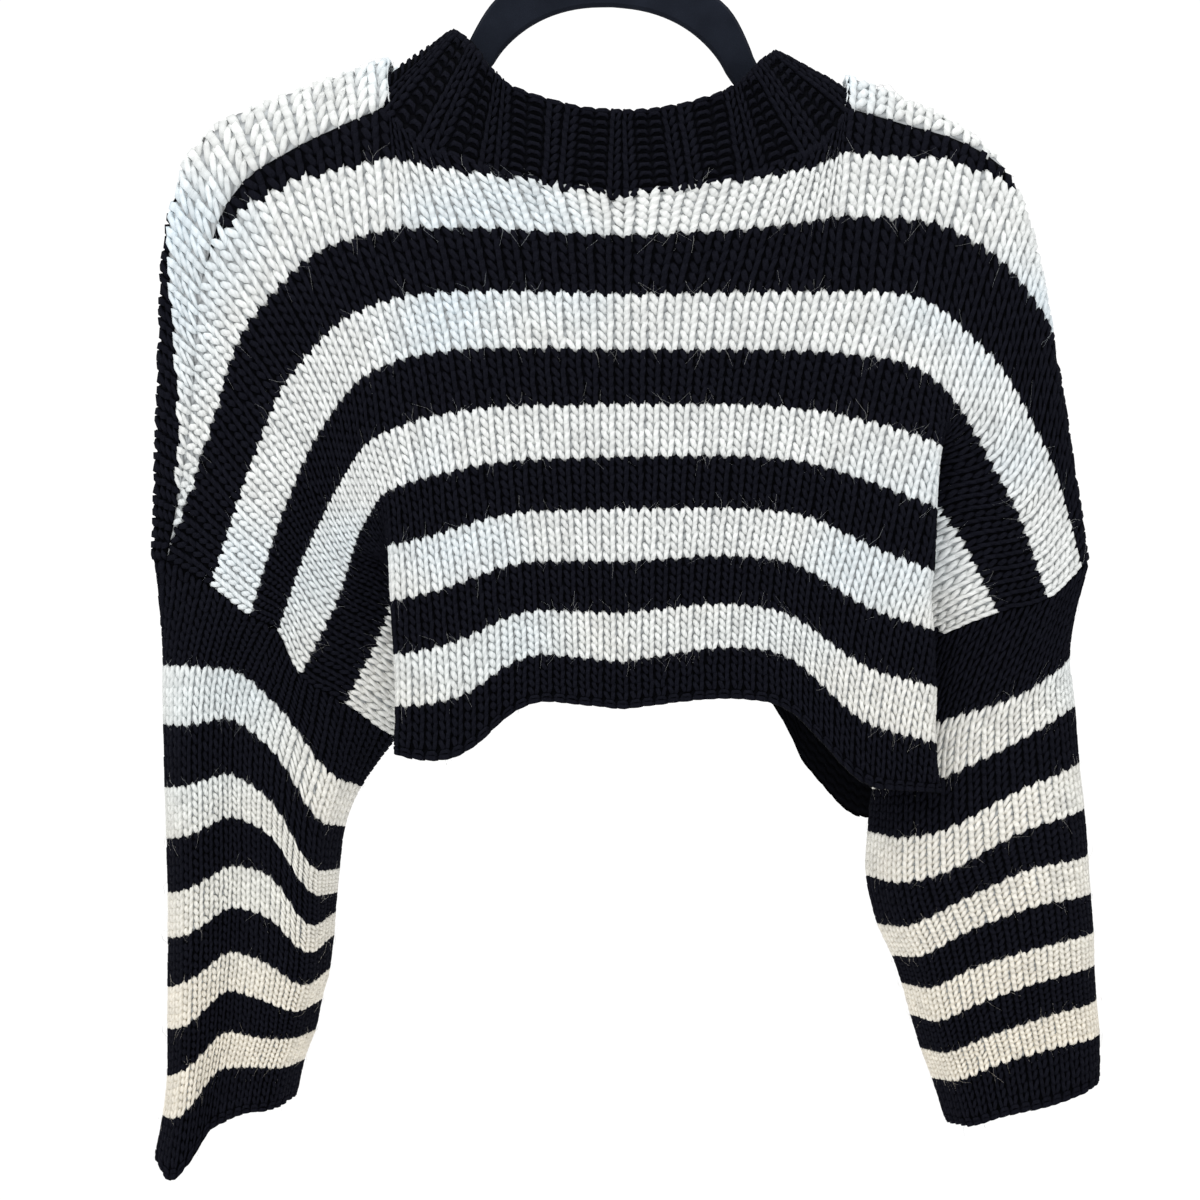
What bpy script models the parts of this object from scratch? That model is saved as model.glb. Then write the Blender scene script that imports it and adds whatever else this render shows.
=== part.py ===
"""Cropped knit sweater hanging on a slim hanger.

A back and a front panel, two drop sleeves and a ribbed collar, each a knitted
wall 4 mm thick, hang over the two arms of a flat hanger with a wire hook.
The back faces -Y and +Z is up. The origin is the point under the top of the
hook's bend, where a rail carries it.

Places on a panel are given by column and row, as a knitter counts them: the
column from the middle (negative to -X, positive to +X) and the row from the
hem. Tables are in millimetres: "out" is the distance from the middle, "drop"
the distance below the origin and "deep" the distance from the mid plane.
"""

import math

import bmesh
import bpy
import numpy as np

MM = 0.001
WALL = 4.0
SEAM_GAP = 0.3
HALF_COLUMNS = 38.5
UNDERARM_ROW = 18
NECK_COLUMN = 12.0
TOP_ROW_AT_NECK = 64.5
SHOULDER_SLOPE = 0.396
FRONT_EXTRA_ROWS = 6
# How many rows the neck dips in the middle, and how squarely.
BACK_NECK_DIP = 4.9
BACK_NECK_POWER = 1.5
FRONT_NECK_DIP = 18.0
FRONT_NECK_POWER = 2.6
FOLD_DEPTH = 8.5
OVER_NECK_SPREAD = 1.12
FOLD_COLUMNS = 1.2
LEFT, RIGHT = -1, 1
BACK, FRONT = -1, 1

COLLAR_RIBS = 19
RIB_RISE = 1.8

SLEEVE_COLUMNS = 40

# The collar's free edge on its back and its front:
#        seam's out less half its depth, out, drop, deep
COLLAR_TOP_BACK = (
    (-12, 0, 144, 22),
    (22, 31, 141, 24),
    (50, 63, 130, 24),
    (81, 76, 117, 23),
    (104, 85, 104, 18),
    (119, 92, 98, 9),
    (126, 96, 96, 2),
)
COLLAR_TOP_FRONT = (
    (-15, 0, 178, 26),
    (25, 30, 170, 26),
    (60, 58, 148, 25),
    (90, 74, 124, 22),
    (108, 86, 106, 16),
    (119, 92, 98, 9),
    (126, 96, 96, 2),
)
COLLAR_TOP_RIGHT_SCALE = 0.93
COLLAR_TOP_RIGHT_DROP = 11.0

HANGER_THICKNESS = 6.0
HANGER_CENTRE = -5.0
HANGER_TILT = math.radians(2.4)
ARM_SLOPE = math.radians(18.9)
ARM_SPAN = 197.0
ARM_WIDTH_AT_NECK = 18.0
ARM_WIDTH_AT_TIP = 13.0
ARCH_TOP_DROP = 62.5
ARCH_HALF_WIDTH = 76.0
ARCH_HEIGHT = 50.0
ARCH_STEPS = 12
ARM_START_OUT = 88.0
TAPER_START_OUT = 60.0
# How much wider the band grows upwards over the middle of the arch.
CROWN_WIDTH = 6.0
CROWN_OUT = 52.0
CROWN_END_OUT = 76.0
TIP_LENGTH = 6.0
TIP_SHARE = 0.55
ARM_START_DROP = 56.5
# How far the tip bends up from the arm's straight slope, towards the cloth it carries.
ARM_LIFT = 7.6
HOOK_OPEN_ANGLE = 200.0
HOOK_UNDER_ANGLE = 60.0
WIRE_DIAMETER = 3.6
HOOK_RADIUS = 20.0
HOOK_STEPS = 18
WIRE_SIDES = 8
STEM_BEND = 9.0

# The middle line of the body, one row for each stripe edge from the hem up.
#        row, drop, column pitch, deep
MIDDLE = (
    (0, 471.0, 6.9, 42),
    (6, 446.5, 6.9, 41),
    (12, 419.5, 7.05, 40),
    (18, 391.5, 7.25, 38),
    (24, 362.5, 7.7, 37),
    (30, 334.0, 8.0, 35),
    (36, 305.0, 8.3, 33),
    (42, 275.0, 8.85, 31),
    (48, 244.5, 9.5, 28),
    (54, 211.0, 10.6, 26),
    (60, 186.0, 11.2, 24),
)

# One row for each stripe edge of a half, from the hem up to the shoulder.
# inner, outer, hang: drops at columns 8, "outer column" and halfway to the edge.
# edge: where the flat middle part ends; below row 40 it is a fold.
# turn: where the cloth folded in behind it turns back; wing and seam follow.
HALF_FIELDS = (
    "row", "inner", "outer", "hang",
    "edge_column", "edge_out", "edge", "edge_deep",
    "turn_column", "turn_out", "turn", "turn_deep",
    "wing_column", "wing_out", "wing", "wing_deep",
    "seam_out", "seam", "seam_deep", "fold",
)
LEFT_HALF = (
    (0, 465, 495, 501, 17.7, 124, 496, 36, 28, 52, 468, 20, 33.5, 61, 472, 11, 74, 477, 2, 1),
    (6, 440, 464, 469, 17.7, 123, 471, 35, 28, 52, 462, 20, 33.5, 67, 469, 11, 82, 482, 2, 1),
    (12, 417.5, 433, 439, 17.7, 124, 442, 35, 28, 62, 452, 20, 33.5, 82, 470, 11, 102, 488, 2, 1),
    (18, 391, 402.5, 409, 17.7, 126, 413, 35, 28, 82, 447, 20, 33.5, 103, 467, 12, 127, 491, 2, 1),
    (24, 364, 373, 379, 17.7, 127, 382, 34, 24, 128, 391, 21, 31.5, 135, 426, 15, 155, 469, 12, 1),
    (30, 336, 342, 347, 17.7, 130, 352, 33, 24, 147, 378, 23, 31.5, 158, 415, 19, 180, 456, 19, 0.1),
    (36, 306, 310.5, 315.5, 17.7, 141, 325, 29, 24, 159, 353, 21, 31.5, 178, 388, 20, 190, 427, 22, 0),
    (42, 273.5, 275.5, 280.5, 17.7, 145, 289, 22, 24.5, 171, 325, 18, 31.5, 190, 372, 21, 205, 423, 21, 0),
    (48, 242, 243.5, 248.5, 17.7, 157, 258, 17, 24.5, 189, 293, 16, 31.5, 211, 352, 19, 228, 404, 16, 0),
    (54, 207, 207, 212, 17.7, 174, 220, 14, 24.5, 213, 264, 13, 31.5, 231, 326, 14, 254, 391, 8, 0),
)
RIGHT_HALF = (
    (0, 464, 468, 514, 28, 174, 517, 36, 34, 110, 490, 20, 36.5, 116, 491, 11, 125, 494, 2, 1),
    (6, 436.5, 440, 479, 27, 171, 491, 35, 33, 112, 480, 20, 36, 120, 484, 11, 128, 488, 2, 1),
    (12, 413.5, 419.5, 449.5, 26, 172, 459.5, 35, 32, 125, 464, 20, 35.3, 132, 467, 11, 139, 471, 2, 1),
    (18, 387.5, 391, 417, 24.8, 171, 429, 35, 31.6, 119, 442, 20, 35, 136, 447, 11, 153, 452, 2, 1),
    (24, 362, 365, 382.5, 22.9, 171, 396.5, 34, 30.7, 117, 418, 20, 34.5, 141, 430, 12, 164, 444, 7, 1),
    (30, 333, 337, 348, 22, 172, 361.5, 33, 30, 125, 397, 20, 34, 152, 417, 14, 178, 431, 13, 1),
    (36, 305, 308.5, 316, 21.2, 176, 326, 30, 24.5, 155, 336, 20, 31.5, 189, 370, 18, 209, 419, 18, 0.8),
    (42, 275, 276, 279, 18.5, 163, 281.5, 23, 24.5, 197, 318, 18, 31.5, 221, 367, 20, 237, 413, 18, 0),
    (48, 243, 242, 242, 17.7, 169, 243.5, 17, 24.5, 211, 282, 15, 31.5, 240, 337, 15, 256, 394, 8, 0),
)
OUTER_COLUMN = {LEFT: 12.0, RIGHT: 13.0}

# The crest, where the cloth turns over from the back to the front.
#        column, out, drop
LEFT_CREST = (
    (12, 131, 109.5),
    (17.2, 195, 132),
    (20.2, 241.5, 150.5),
    (24, 257, 210),
    (38.5, 262, 391),
)
RIGHT_CREST = (
    (12, 126, 119.5),
    (17.7, 187, 144),
    (21, 220.5, 175),
    (25.5, 234.5, 226),
    (38.5, 260, 391),
)

# How many rows the crest lies above the shoulder seam of the back: the sweater
# hangs a little twisted, so the seam shows at -X and hides at +X.
#        column, rows
TWIST = (
    (-38.5, 3.0),
    (-35, 5.0),
    (-30, 6.0),
    (-20, 5.0),
    (-12, 4.5),
    (12, 3.5),
    (16, 2.6),
    (21, -0.2),
    (28.5, -4.0),
    (38.5, -4.0),
)

# How many rows the front's hem lies above the back's.
#        column, rows
FRONT_HEM = (
    (-28, 0.0),
    (-18, 4.0),
    (-8, 4.0),
    (0, 1.0),
    (12, 0.5),
    (15.5, -4.0),
    (26, -4.0),
    (32, 0.0),
)

# A sleeve's rings, one for each stripe edge below the armhole: how far out the
# ring's outer and inner sides lie, and the drops along its back, outer to inner.
RING_FIELDS = ("outer_out", "inner_out", "outer", "strip", "valley", "belly", "ridge", "inner")
LEFT_RINGS = (
    (259, 146, 452, 450, 451, 477, 512, 517),
    (258, 155, 480, 482, 476, 497, 535, 538),
    (257, 158, 518, 516, 508, 524, 564, 564),
    (256, 159, 545, 543, 530, 541, 575, 576),
    (255, 160, 577, 573, 559, 563, 595, 585),
    (255, 161, 600, 598, 581, 587, 609, 597),
    (255, 163, 630, 624, 606, 613, 627, 617),
    (255, 168, 651, 649, 627, 633, 640, 634),
    (255, 171, 680, 673, 651, 655, 654, 652),
    (257, 178, 700, 699, 671, 669, 670, 668),
    (262, 182, 719, 737, 705, 695, 693, 688),
)
RIGHT_RINGS = (
    (250, 146, 443, 455, 470, 480, 488, 494),
    (254, 139, 469, 475, 492, 511, 516, 519),
    (256, 137, 502, 508, 518, 541, 545, 541),
    (259, 135, 527, 531, 540, 564, 569, 565),
    (261, 142, 554, 557, 560, 579, 594, 594),
    (262, 151, 575, 577, 580, 594, 609, 611),
    (264, 156, 598, 599, 604, 614, 627, 625),
    (264, 161, 615, 617, 622, 634, 646, 643),
    (265, 167, 635, 637, 642, 653, 663, 663),
    (267, 173, 653, 655, 658, 667, 677, 678),
    (267, 181, 678, 683, 690, 696, 703, 703),
)
# Where the six places across a ring lie: fraction of its width, and column around it.
LEFT_RING_FRACTIONS = (0.0, 0.16, 0.4, 0.66, 0.86, 1.0)
LEFT_RING_COLUMNS = (0.0, 3.4, 7.8, 12.2, 15.6, 20.0)
RIGHT_RING_FRACTIONS = (0.0, 0.08, 0.32, 0.66, 0.86, 1.0)
RIGHT_RING_COLUMNS = (0.0, 2.8, 6.6, 11.6, 15.2, 20.0)
# How deep the tube is at them, on its back and its front.
LEFT_BACK_DEEP = (3, 24, 15, 25, 28, 3)
LEFT_FRONT_DEEP = (3, 20, 27, 29, 23, 3)
RIGHT_BACK_DEEP = (3, 19, 27, 30, 24, 3)
RIGHT_FRONT_DEEP = (3, 19, 26, 29, 23, 3)
# How much of that depth each ring has: the right sleeve's top is pressed flat
# where it hangs between the body's folded sides.
LEFT_RING_FILL = (0.75, 0.9, 1, 1, 1, 1, 1, 0.95, 0.9, 0.85, 0.85)
RIGHT_RING_FILL = (0.52, 0.6, 0.85, 1, 1, 1, 1, 0.95, 0.9, 0.85, 0.85)

# Mesh lines of a panel, as columns of its two halves and as shares of its rows
# below and above the underarm.
LEFT_COLUMNS = (
    2, 4, 6, 8, 9.5, 10.3, 11.2, 12, 14.5, 16.8, 17.7, 18.5, 19.3, 20.7, 22, 23.3, 24.6, 26.2, 28, 29.2,
    31.2, 33.5, 36, 38.5,
)
RIGHT_COLUMNS = (
    2, 4, 6, 8, 9.6, 10.8, 11.5, 12, 15, 17.7, 20, 21.4, 22.6, 23.8, 25, 26.2, 27.4, 28.6, 30,
    31.3, 32.6, 34, 35.4, 37, 38.5,
)
LOW_SHARES = (0, 0.25, 0.5, 0.75)
HIGH_SHARES = (0, 0.1, 0.2, 0.3, 0.4, 0.5, 0.6, 0.7, 0.78, 0.84, 0.88, 0.92, 0.96, 1.0)
SLEEVE_SHARES = (0.5, 1, 1.5, 2, 2.6, 3.2, 3.8, 4.4, 5, 5.7, 6.4, 7.1, 7.8, 8.5, 9.2, 10, 10.5, 11)
# Half widths of the rounded corners: in rows, in columns and in rings.
ROW_CORNER = 2.5
CREST_CORNER = 1.8
RING_CORNER = 1.4
STRIPE_CORNER = 0.45
SEAM_ROWS = 0.045
NORMAL_STEP = 0.5
SLEEVE_START = 0.012
COLLAR_START = 0.03
COLLAR_LINES = (COLLAR_START, 0.14, 0.5, 0.88, 1.0)
COLLAR_RISES = (0.0, 0.3, 1.0, 1.0, 1.0)
RIB_STEPS = 5
CORNER_COSINE = 0.97
COLLAR_SMOOTHINGS = 4
COLLAR_EASE = 2.4
COLLAR_EASE_DEEP = 24.0


# ---------------------------------------------------------------- curve tools


def ramp(x, half):
    """Zero below -half, x above half, with a parabola between."""
    x = np.asarray(x, float)
    middle = (x + half) ** 2 / (4 * half)
    return np.where(x <= -half, 0.0, np.where(x >= half, x, middle))


def bent_line(at, knots, values, halves):
    """Straight runs between knots, with each inner corner rounded.

    knots is (K,) or (K, n), values is (K, n, 3) or (K, 3), at is (n,).
    """
    knots = np.asarray(knots, float)
    values = np.asarray(values, float)
    at = np.asarray(at, float)
    if knots.ndim == 1:
        knots = np.repeat(knots[:, None], len(at), axis=1)
    if values.ndim == 2:
        values = np.repeat(values[:, None, :], len(at), axis=1)
    halves = np.broadcast_to(np.asarray(halves, float), (len(knots),))
    slopes = (values[1:] - values[:-1]) / (knots[1:] - knots[:-1])[..., None]
    result = values[0] + slopes[0] * (at - knots[0])[:, None]
    for i in range(1, len(slopes)):
        result = result + (slopes[i] - slopes[i - 1]) * ramp(at - knots[i], halves[i])[:, None]
    return result


def column_of(table, index):
    """One column of a table."""
    return [row[index] for row in table]


def from_pairs(at, table):
    """A value read from a two-column table."""
    return np.interp(at, column_of(table, 0), column_of(table, 1))


# ------------------------------------------------------------ the body's form


MIDDLE_ROWS = column_of(MIDDLE, 0)


def middle_line(row):
    """Drop, pitch and depth of the body's middle line at each row."""
    values = np.array([entry[1:] for entry in MIDDLE], float)
    return bent_line(row, MIDDLE_ROWS, values, ROW_CORNER)


def half_levels(side):
    """Each stripe edge of a half as knots, places (out, drop, deep) and corner widths."""
    levels = []
    for entry in LEFT_HALF if side == LEFT else RIGHT_HALF:
        cut = dict(zip(HALF_FIELDS, entry))
        _, pitch, middle_deep = middle_line([cut["row"]])[0]
        outer_column = OUTER_COLUMN[side]
        hang_column = (outer_column + cut["edge_column"]) / 2
        edge = np.array([cut["edge_out"], cut["edge"], cut["edge_deep"]], float)
        turn = np.array([cut["turn_out"], cut["turn"], cut["turn_deep"]], float)
        wing = np.array([cut["wing_out"], cut["wing"], cut["wing_deep"]], float)
        outer = np.array([outer_column * pitch, cut["outer"], middle_deep], float)
        outer[2] += (edge[2] - middle_deep) * 0.35
        hang = (outer + edge) / 2
        hang[1] = cut["hang"]
        fold = cut["fold"]
        tuck_column = cut["edge_column"] + FOLD_COLUMNS
        along = FOLD_COLUMNS / (cut["turn_column"] - cut["edge_column"])
        tuck = fold * (edge - (0, 0, FOLD_DEPTH)) + (1 - fold) * (edge + (turn - edge) * along)
        back_column = cut["turn_column"] + FOLD_COLUMNS
        along = FOLD_COLUMNS / (cut["wing_column"] - cut["turn_column"])
        back = fold * (turn - (0, 0, FOLD_DEPTH)) + (1 - fold) * (turn + (wing - turn) * along)
        crisp = 0.7 * fold + 2.0 * (1 - fold)
        levels.append((
            cut["row"],
            (0, 8, outer_column, hang_column, cut["edge_column"], tuck_column,
             cut["turn_column"], back_column, cut["wing_column"], HALF_COLUMNS),
            (
                (0, middle_line([cut["row"]])[0][0], middle_deep),
                (8 * pitch, cut["inner"], middle_deep),
                outer, hang, edge, tuck, turn, back, wing,
                (cut["seam_out"], cut["seam"], cut["seam_deep"]),
            ),
            (1, 2.5, 2, 2, crisp, crisp, crisp, crisp, 2.0, 1),
        ))
    return levels


LEVELS = {LEFT: half_levels(LEFT), RIGHT: half_levels(RIGHT)}
SHOULDER_ROW = {LEFT: LEFT_HALF[-1][0], RIGHT: RIGHT_HALF[-1][0]}


def top_line(column):
    """The shoulder edge's row, carried on as a straight line over the neck."""
    return TOP_ROW_AT_NECK - SHOULDER_SLOPE * (np.abs(column) - NECK_COLUMN)


def back_crest(column):
    """The row of the back panel that lies on the crest."""
    return top_line(column) + from_pairs(column, TWIST)


def front_crest(column):
    """The row of the front panel that lies on the crest."""
    return top_line(column) + FRONT_EXTRA_ROWS - from_pairs(column, TWIST)


def crest_place(column, side):
    """Out and drop of the crest at each column; over the neck it is only a guide."""
    table = LEFT_CREST if side == LEFT else RIGHT_CREST
    knots = column_of(table, 0)
    values = np.array([(out, drop, 0.0) for _, out, drop in table], float)
    return bent_line(np.maximum(np.abs(column), NECK_COLUMN), knots, values, CREST_CORNER)


def half_surface(column, station, rise, side):
    """Out, drop and deep of the body's mid surface.

    station is the back's row below the shoulder level, and rise, from 0 to 1,
    is how far a point lies from the shoulder level up to the crest.
    """
    across = np.abs(column)
    rows, values = [], []
    for row, knots, places, halves in LEVELS[side]:
        place = bent_line(across, knots, places, halves)
        place[:, 1] -= middle_line([row])[0][0]
        rows.append(row)
        values.append(place)
    shoulder = SHOULDER_ROW[side]
    crest_rows = back_crest(column)
    span = crest_rows - shoulder
    crest = crest_place(column, side)
    over_neck = np.clip(1 - across / NECK_COLUMN, 0, 1)[:, None]
    relative = crest.copy()
    relative[:, 1] -= middle_line(crest_rows)[:, 0]
    guide = values[-1].copy()
    guide[:, 0] *= OVER_NECK_SPREAD
    relative = relative * (1 - over_neck) + guide * over_neck
    below = bent_line(station, rows, np.array(values), ROW_CORNER)
    top = values[-1]
    lift = rise[:, None]
    above = top * (1 - lift) + relative * lift
    rounding = np.sqrt(np.clip(1 - rise**3, 0, 1))
    above[:, 2] = top[:, 2] * (rounding + (1 - rounding) * over_neck[:, 0])
    result = np.where(rise[:, None] > 0, above, below)
    row = np.where(rise > 0, shoulder + rise * span, station)
    result[:, 1] += middle_line(row)[:, 0]
    return result


def body_point(column, under, face):
    """Places on the body, "under" rows below the crest, on its back or front face."""
    column = np.asarray(column, float)
    under = np.asarray(under, float)
    face = np.where(under < 0, -face, face)
    under = np.abs(under)
    result = np.zeros((len(column), 3))
    for side in (LEFT, RIGHT):
        chosen = column < 0 if side == LEFT else column >= 0
        if not chosen.any():
            continue
        across = column[chosen]
        depth = under[chosen]
        shoulder = SHOULDER_ROW[side]
        span = back_crest(across) - shoulder
        station = np.where(
            face[chosen] == BACK,
            shoulder + span - depth,
            front_station(across, front_crest(across) - depth, span, shoulder),
        )
        rise = np.clip(1 - depth / span, 0, 1)
        place = half_surface(across, station, rise, side)
        result[chosen, 0] = side * place[:, 0]
        result[chosen, 1] = face[chosen] * place[:, 2]
        result[chosen, 2] = -place[:, 1]
    return result


def front_station(column, row, span, shoulder):
    """The back's row beside which each row of the front hangs."""
    hem = from_pairs(column, FRONT_HEM)
    level_row = front_crest(column) - span
    even = hem + (shoulder - hem) * UNDERARM_ROW / level_row
    side_share = np.clip((np.abs(column) - 20) / 10, 0, 1)
    side_share = side_share**2 * (3 - 2 * side_share)
    underarm = even + (UNDERARM_ROW - even) * side_share
    low = hem + (underarm - hem) * row / UNDERARM_ROW
    high = underarm + (shoulder - underarm) * (row - UNDERARM_ROW) / (level_row - UNDERARM_ROW)
    return np.where(row < UNDERARM_ROW, low, high)


def back_top(column):
    """The back panel's top row: the neck's shallow dip, then the shoulder."""
    across = np.abs(column)
    dip = BACK_NECK_DIP * (1 - np.clip(across / NECK_COLUMN, 0, 1) ** BACK_NECK_POWER)
    return np.where(across < NECK_COLUMN, TOP_ROW_AT_NECK - dip, top_line(column))


def front_top(column):
    """The front panel's top row: the neck's deep dip, then the shoulder."""
    across = np.abs(column)
    dip = FRONT_NECK_DIP * (1 - np.clip(across / NECK_COLUMN, 0, 1) ** FRONT_NECK_POWER)
    return np.where(across < NECK_COLUMN, TOP_ROW_AT_NECK + FRONT_EXTRA_ROWS - dip,
                    top_line(column) + FRONT_EXTRA_ROWS)


def panel_point(column, row, face):
    """Places on a panel at each column and row."""
    crest = back_crest(column) if face == BACK else front_crest(column)
    return body_point(column, crest - row, face)


# --------------------------------------------------------------- mesh helpers


def grid_normals(points, closed=False):
    """Unit normals of a grid of points (rows, columns, 3)."""
    if closed:
        across = np.roll(points, -1, axis=1) - np.roll(points, 1, axis=1)
    else:
        across = np.gradient(points, axis=1)
    along = np.gradient(points, axis=0)
    normals = np.cross(across, along)
    return normals / np.linalg.norm(normals, axis=2, keepdims=True)


def wall_mesh(name, outer, inner, closed=False):
    """A closed wall between two grids of points in millimetres."""
    rows, columns, _ = outer.shape
    mesh = bpy.data.meshes.new(name)
    form = bmesh.new()
    skins = []
    for grid in (outer, inner):
        skins.append([[form.verts.new(grid[j, i] * MM) for i in range(columns)] for j in range(rows)])
    ends = columns if closed else columns - 1
    for j in range(rows - 1):
        for i in range(ends):
            k = (i + 1) % columns
            form.faces.new((skins[0][j][i], skins[0][j][k], skins[0][j + 1][k], skins[0][j + 1][i]))
            form.faces.new((skins[1][j][i], skins[1][j + 1][i], skins[1][j + 1][k], skins[1][j][k]))
    for i in range(ends):
        k = (i + 1) % columns
        form.faces.new((skins[0][0][k], skins[0][0][i], skins[1][0][i], skins[1][0][k]))
        form.faces.new((skins[0][-1][i], skins[0][-1][k], skins[1][-1][k], skins[1][-1][i]))
    if not closed:
        for j in range(rows - 1):
            form.faces.new((skins[0][j][0], skins[0][j + 1][0], skins[1][j + 1][0], skins[1][j][0]))
            form.faces.new((skins[0][j + 1][-1], skins[0][j][-1], skins[1][j][-1], skins[1][j + 1][-1]))
    bmesh.ops.triangulate(form, faces=form.faces)
    bmesh.ops.recalc_face_normals(form, faces=form.faces)
    if form.calc_volume(signed=True) < 0:
        bmesh.ops.reverse_faces(form, faces=form.faces)
    form.to_mesh(mesh)
    form.free()
    return mesh


def place_object(name, mesh, material):
    """Put a mesh in the scene under a name, with its material."""
    mesh.materials.append(material)
    mesh.shade_smooth()
    made = bpy.data.objects.new(name, mesh)
    bpy.context.scene.collection.objects.link(made)
    return made


def principled(name, colour, roughness, metallic=0.0):
    """A plain material."""
    material = bpy.data.materials.new(name)
    material.use_nodes = True
    shader = material.node_tree.nodes["Principled BSDF"]
    shader.inputs["Base Color"].default_value = (*colour, 1.0)
    shader.inputs["Roughness"].default_value = roughness
    shader.inputs["Metallic"].default_value = metallic
    return material


# -------------------------------------------------------------------- panels


def panel_columns():
    """The mesh lines across a panel, from -X to +X."""
    return np.array([-column for column in reversed(LEFT_COLUMNS)] + [0] + list(RIGHT_COLUMNS), float)


def panel_rows(top):
    """The row of each mesh line at each column: even below the underarm, then up to the top."""
    low = np.outer(LOW_SHARES, np.full_like(top, UNDERARM_ROW))
    high = UNDERARM_ROW + np.outer(HIGH_SHARES, top - SEAM_ROWS - UNDERARM_ROW)
    return np.concatenate([low, high])


def panel_grid(face):
    """Mid-surface points of a panel and the way out of the cloth at each."""
    columns = panel_columns()
    rows = panel_rows(back_top(columns) if face == BACK else front_top(columns))
    step = NORMAL_STEP
    right_of = np.clip(columns + step, None, HALF_COLUMNS)
    left_of = np.clip(columns - step, -HALF_COLUMNS, None)
    grid = np.array([panel_point(columns, row, face) for row in rows])
    right = np.array([panel_point(right_of, row, face) for row in rows])
    left = np.array([panel_point(left_of, row, face) for row in rows])
    up = np.array([panel_point(columns, row + step, face) for row in rows])
    down = np.array([panel_point(columns, row - step, face) for row in rows])
    normals = np.cross(right - left, up - down)
    normals *= -face / np.linalg.norm(normals, axis=2, keepdims=True)
    return grid, normals


def make_panel(name, face, material):
    """A panel, held off the mid plane below the underarm so its side edges do not meet."""
    grid, normals = panel_grid(face)
    outer = grid + normals * WALL / 2
    inner = grid - normals * WALL / 2
    low = len(LOW_SHARES) + 1
    for skin in (outer, inner):
        depth = face * skin[:low, :, 1]
        skin[:low, :, 1] = face * np.maximum(depth, SEAM_GAP / 2)
    return place_object(name, wall_mesh(name, outer, inner), material)


# ------------------------------------------------------------------- sleeves


def armhole_loop(side, panels):
    """The armhole's edge points and the cloth's way out there, from the shoulder seam
    down the back to the underarm and up the front."""
    edge = 0 if side == LEFT else -1
    low = len(LOW_SHARES)
    (back, back_out), (front, front_out) = panels
    places = list(back[low:, edge][::-1])
    outs = list(back_out[low:, edge][::-1])
    underarm = (back[low, edge] + front[low, edge]) / 2
    tangent = underarm - (back[low + 1, edge] + front[low + 1, edge]) / 2
    places[-1] = underarm
    outs[-1] = tangent / np.linalg.norm(tangent)
    places += list(front[low + 1:-1, edge])
    outs += list(front_out[low + 1:-1, edge])
    return np.array(places), np.array(outs)


def loop_columns(places):
    """A knit column for each point of the loop: 0 at the shoulder seam, half at the underarm."""
    steps = np.linalg.norm(np.roll(places, -1, axis=0) - places, axis=1)
    along = np.concatenate([[0], np.cumsum(steps)])
    underarm = len(HIGH_SHARES) - 1
    half = SLEEVE_COLUMNS / 2
    down = along[:-1] / along[underarm]
    up = (along[:-1] - along[underarm]) / (along[-1] - along[underarm])
    return np.where(np.arange(len(places)) <= underarm, down * half, (1 + up) * half)


def ring_places(side):
    """Each ring's knots around the sleeve, as columns and as places."""
    rings = LEFT_RINGS if side == LEFT else RIGHT_RINGS
    fills = LEFT_RING_FILL if side == LEFT else RIGHT_RING_FILL
    back_deep = LEFT_BACK_DEEP if side == LEFT else RIGHT_BACK_DEEP
    front_deep = LEFT_FRONT_DEEP if side == LEFT else RIGHT_FRONT_DEEP
    fractions = LEFT_RING_FRACTIONS if side == LEFT else RIGHT_RING_FRACTIONS
    half_round = LEFT_RING_COLUMNS if side == LEFT else RIGHT_RING_COLUMNS
    columns = list(half_round) + [SLEEVE_COLUMNS - column for column in reversed(half_round)]
    loops = []
    for entry, fill in zip(rings, fills):
        ring = dict(zip(RING_FIELDS, entry))
        backs, fronts = [], []
        for field, fraction, near, far in zip(RING_FIELDS[2:], fractions, back_deep, front_deep):
            out = ring["outer_out"] + (ring["inner_out"] - ring["outer_out"]) * fraction
            backs.append((side * out, -near * fill, -ring[field]))
            fronts.append((side * out, far * fill, -ring[field]))
        loops.append(backs + fronts[::-1])
    return np.array(columns, float), np.array(loops)


def around(at, columns, places):
    """A ring's places at each column, its corners rounded, closed on itself."""
    knots = np.concatenate([columns[-3:-1] - SLEEVE_COLUMNS, columns, columns[1:3] + SLEEVE_COLUMNS])
    values = np.concatenate([places[-3:-1], places, places[1:3]])
    merged_knots, merged = [], []
    for knot, value in zip(knots, values):
        if merged_knots and knot - merged_knots[-1] < 0.01:
            merged[-1] = (merged[-1] + value) / 2
        else:
            merged_knots.append(knot)
            merged.append(value)
    return bent_line(at, merged_knots, np.array(merged), RING_CORNER)


def sleeve_grid(side, panels):
    """Mid-surface points of a sleeve, ring by ring, and the way out of the cloth."""
    loop, loop_out = armhole_loop(side, panels)
    at = loop_columns(loop)
    columns, rings = ring_places(side)
    levels = np.array([loop] + [around(at, columns, ring) for ring in rings])
    stations = np.arange(len(levels))
    lines = (SLEEVE_START,) + SLEEVE_SHARES
    grid = np.array([bent_line(np.full(len(at), s), stations, levels, STRIPE_CORNER) for s in lines])
    normals = grid_normals(grid, closed=True)
    middle = grid.mean(axis=1, keepdims=True)
    if ((grid - middle) * normals).sum() < 0:
        normals = -normals
    normals[0] = loop_out
    return grid, normals


def make_sleeve(name, side, panels, material):
    """A sleeve's tube, from the armhole to the cuff."""
    grid, normals = sleeve_grid(side, panels)
    outer = grid + normals * WALL / 2
    inner = grid - normals * WALL / 2
    return place_object(name, wall_mesh(name, outer, inner, closed=True), material)


# -------------------------------------------------------------------- collar


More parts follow.
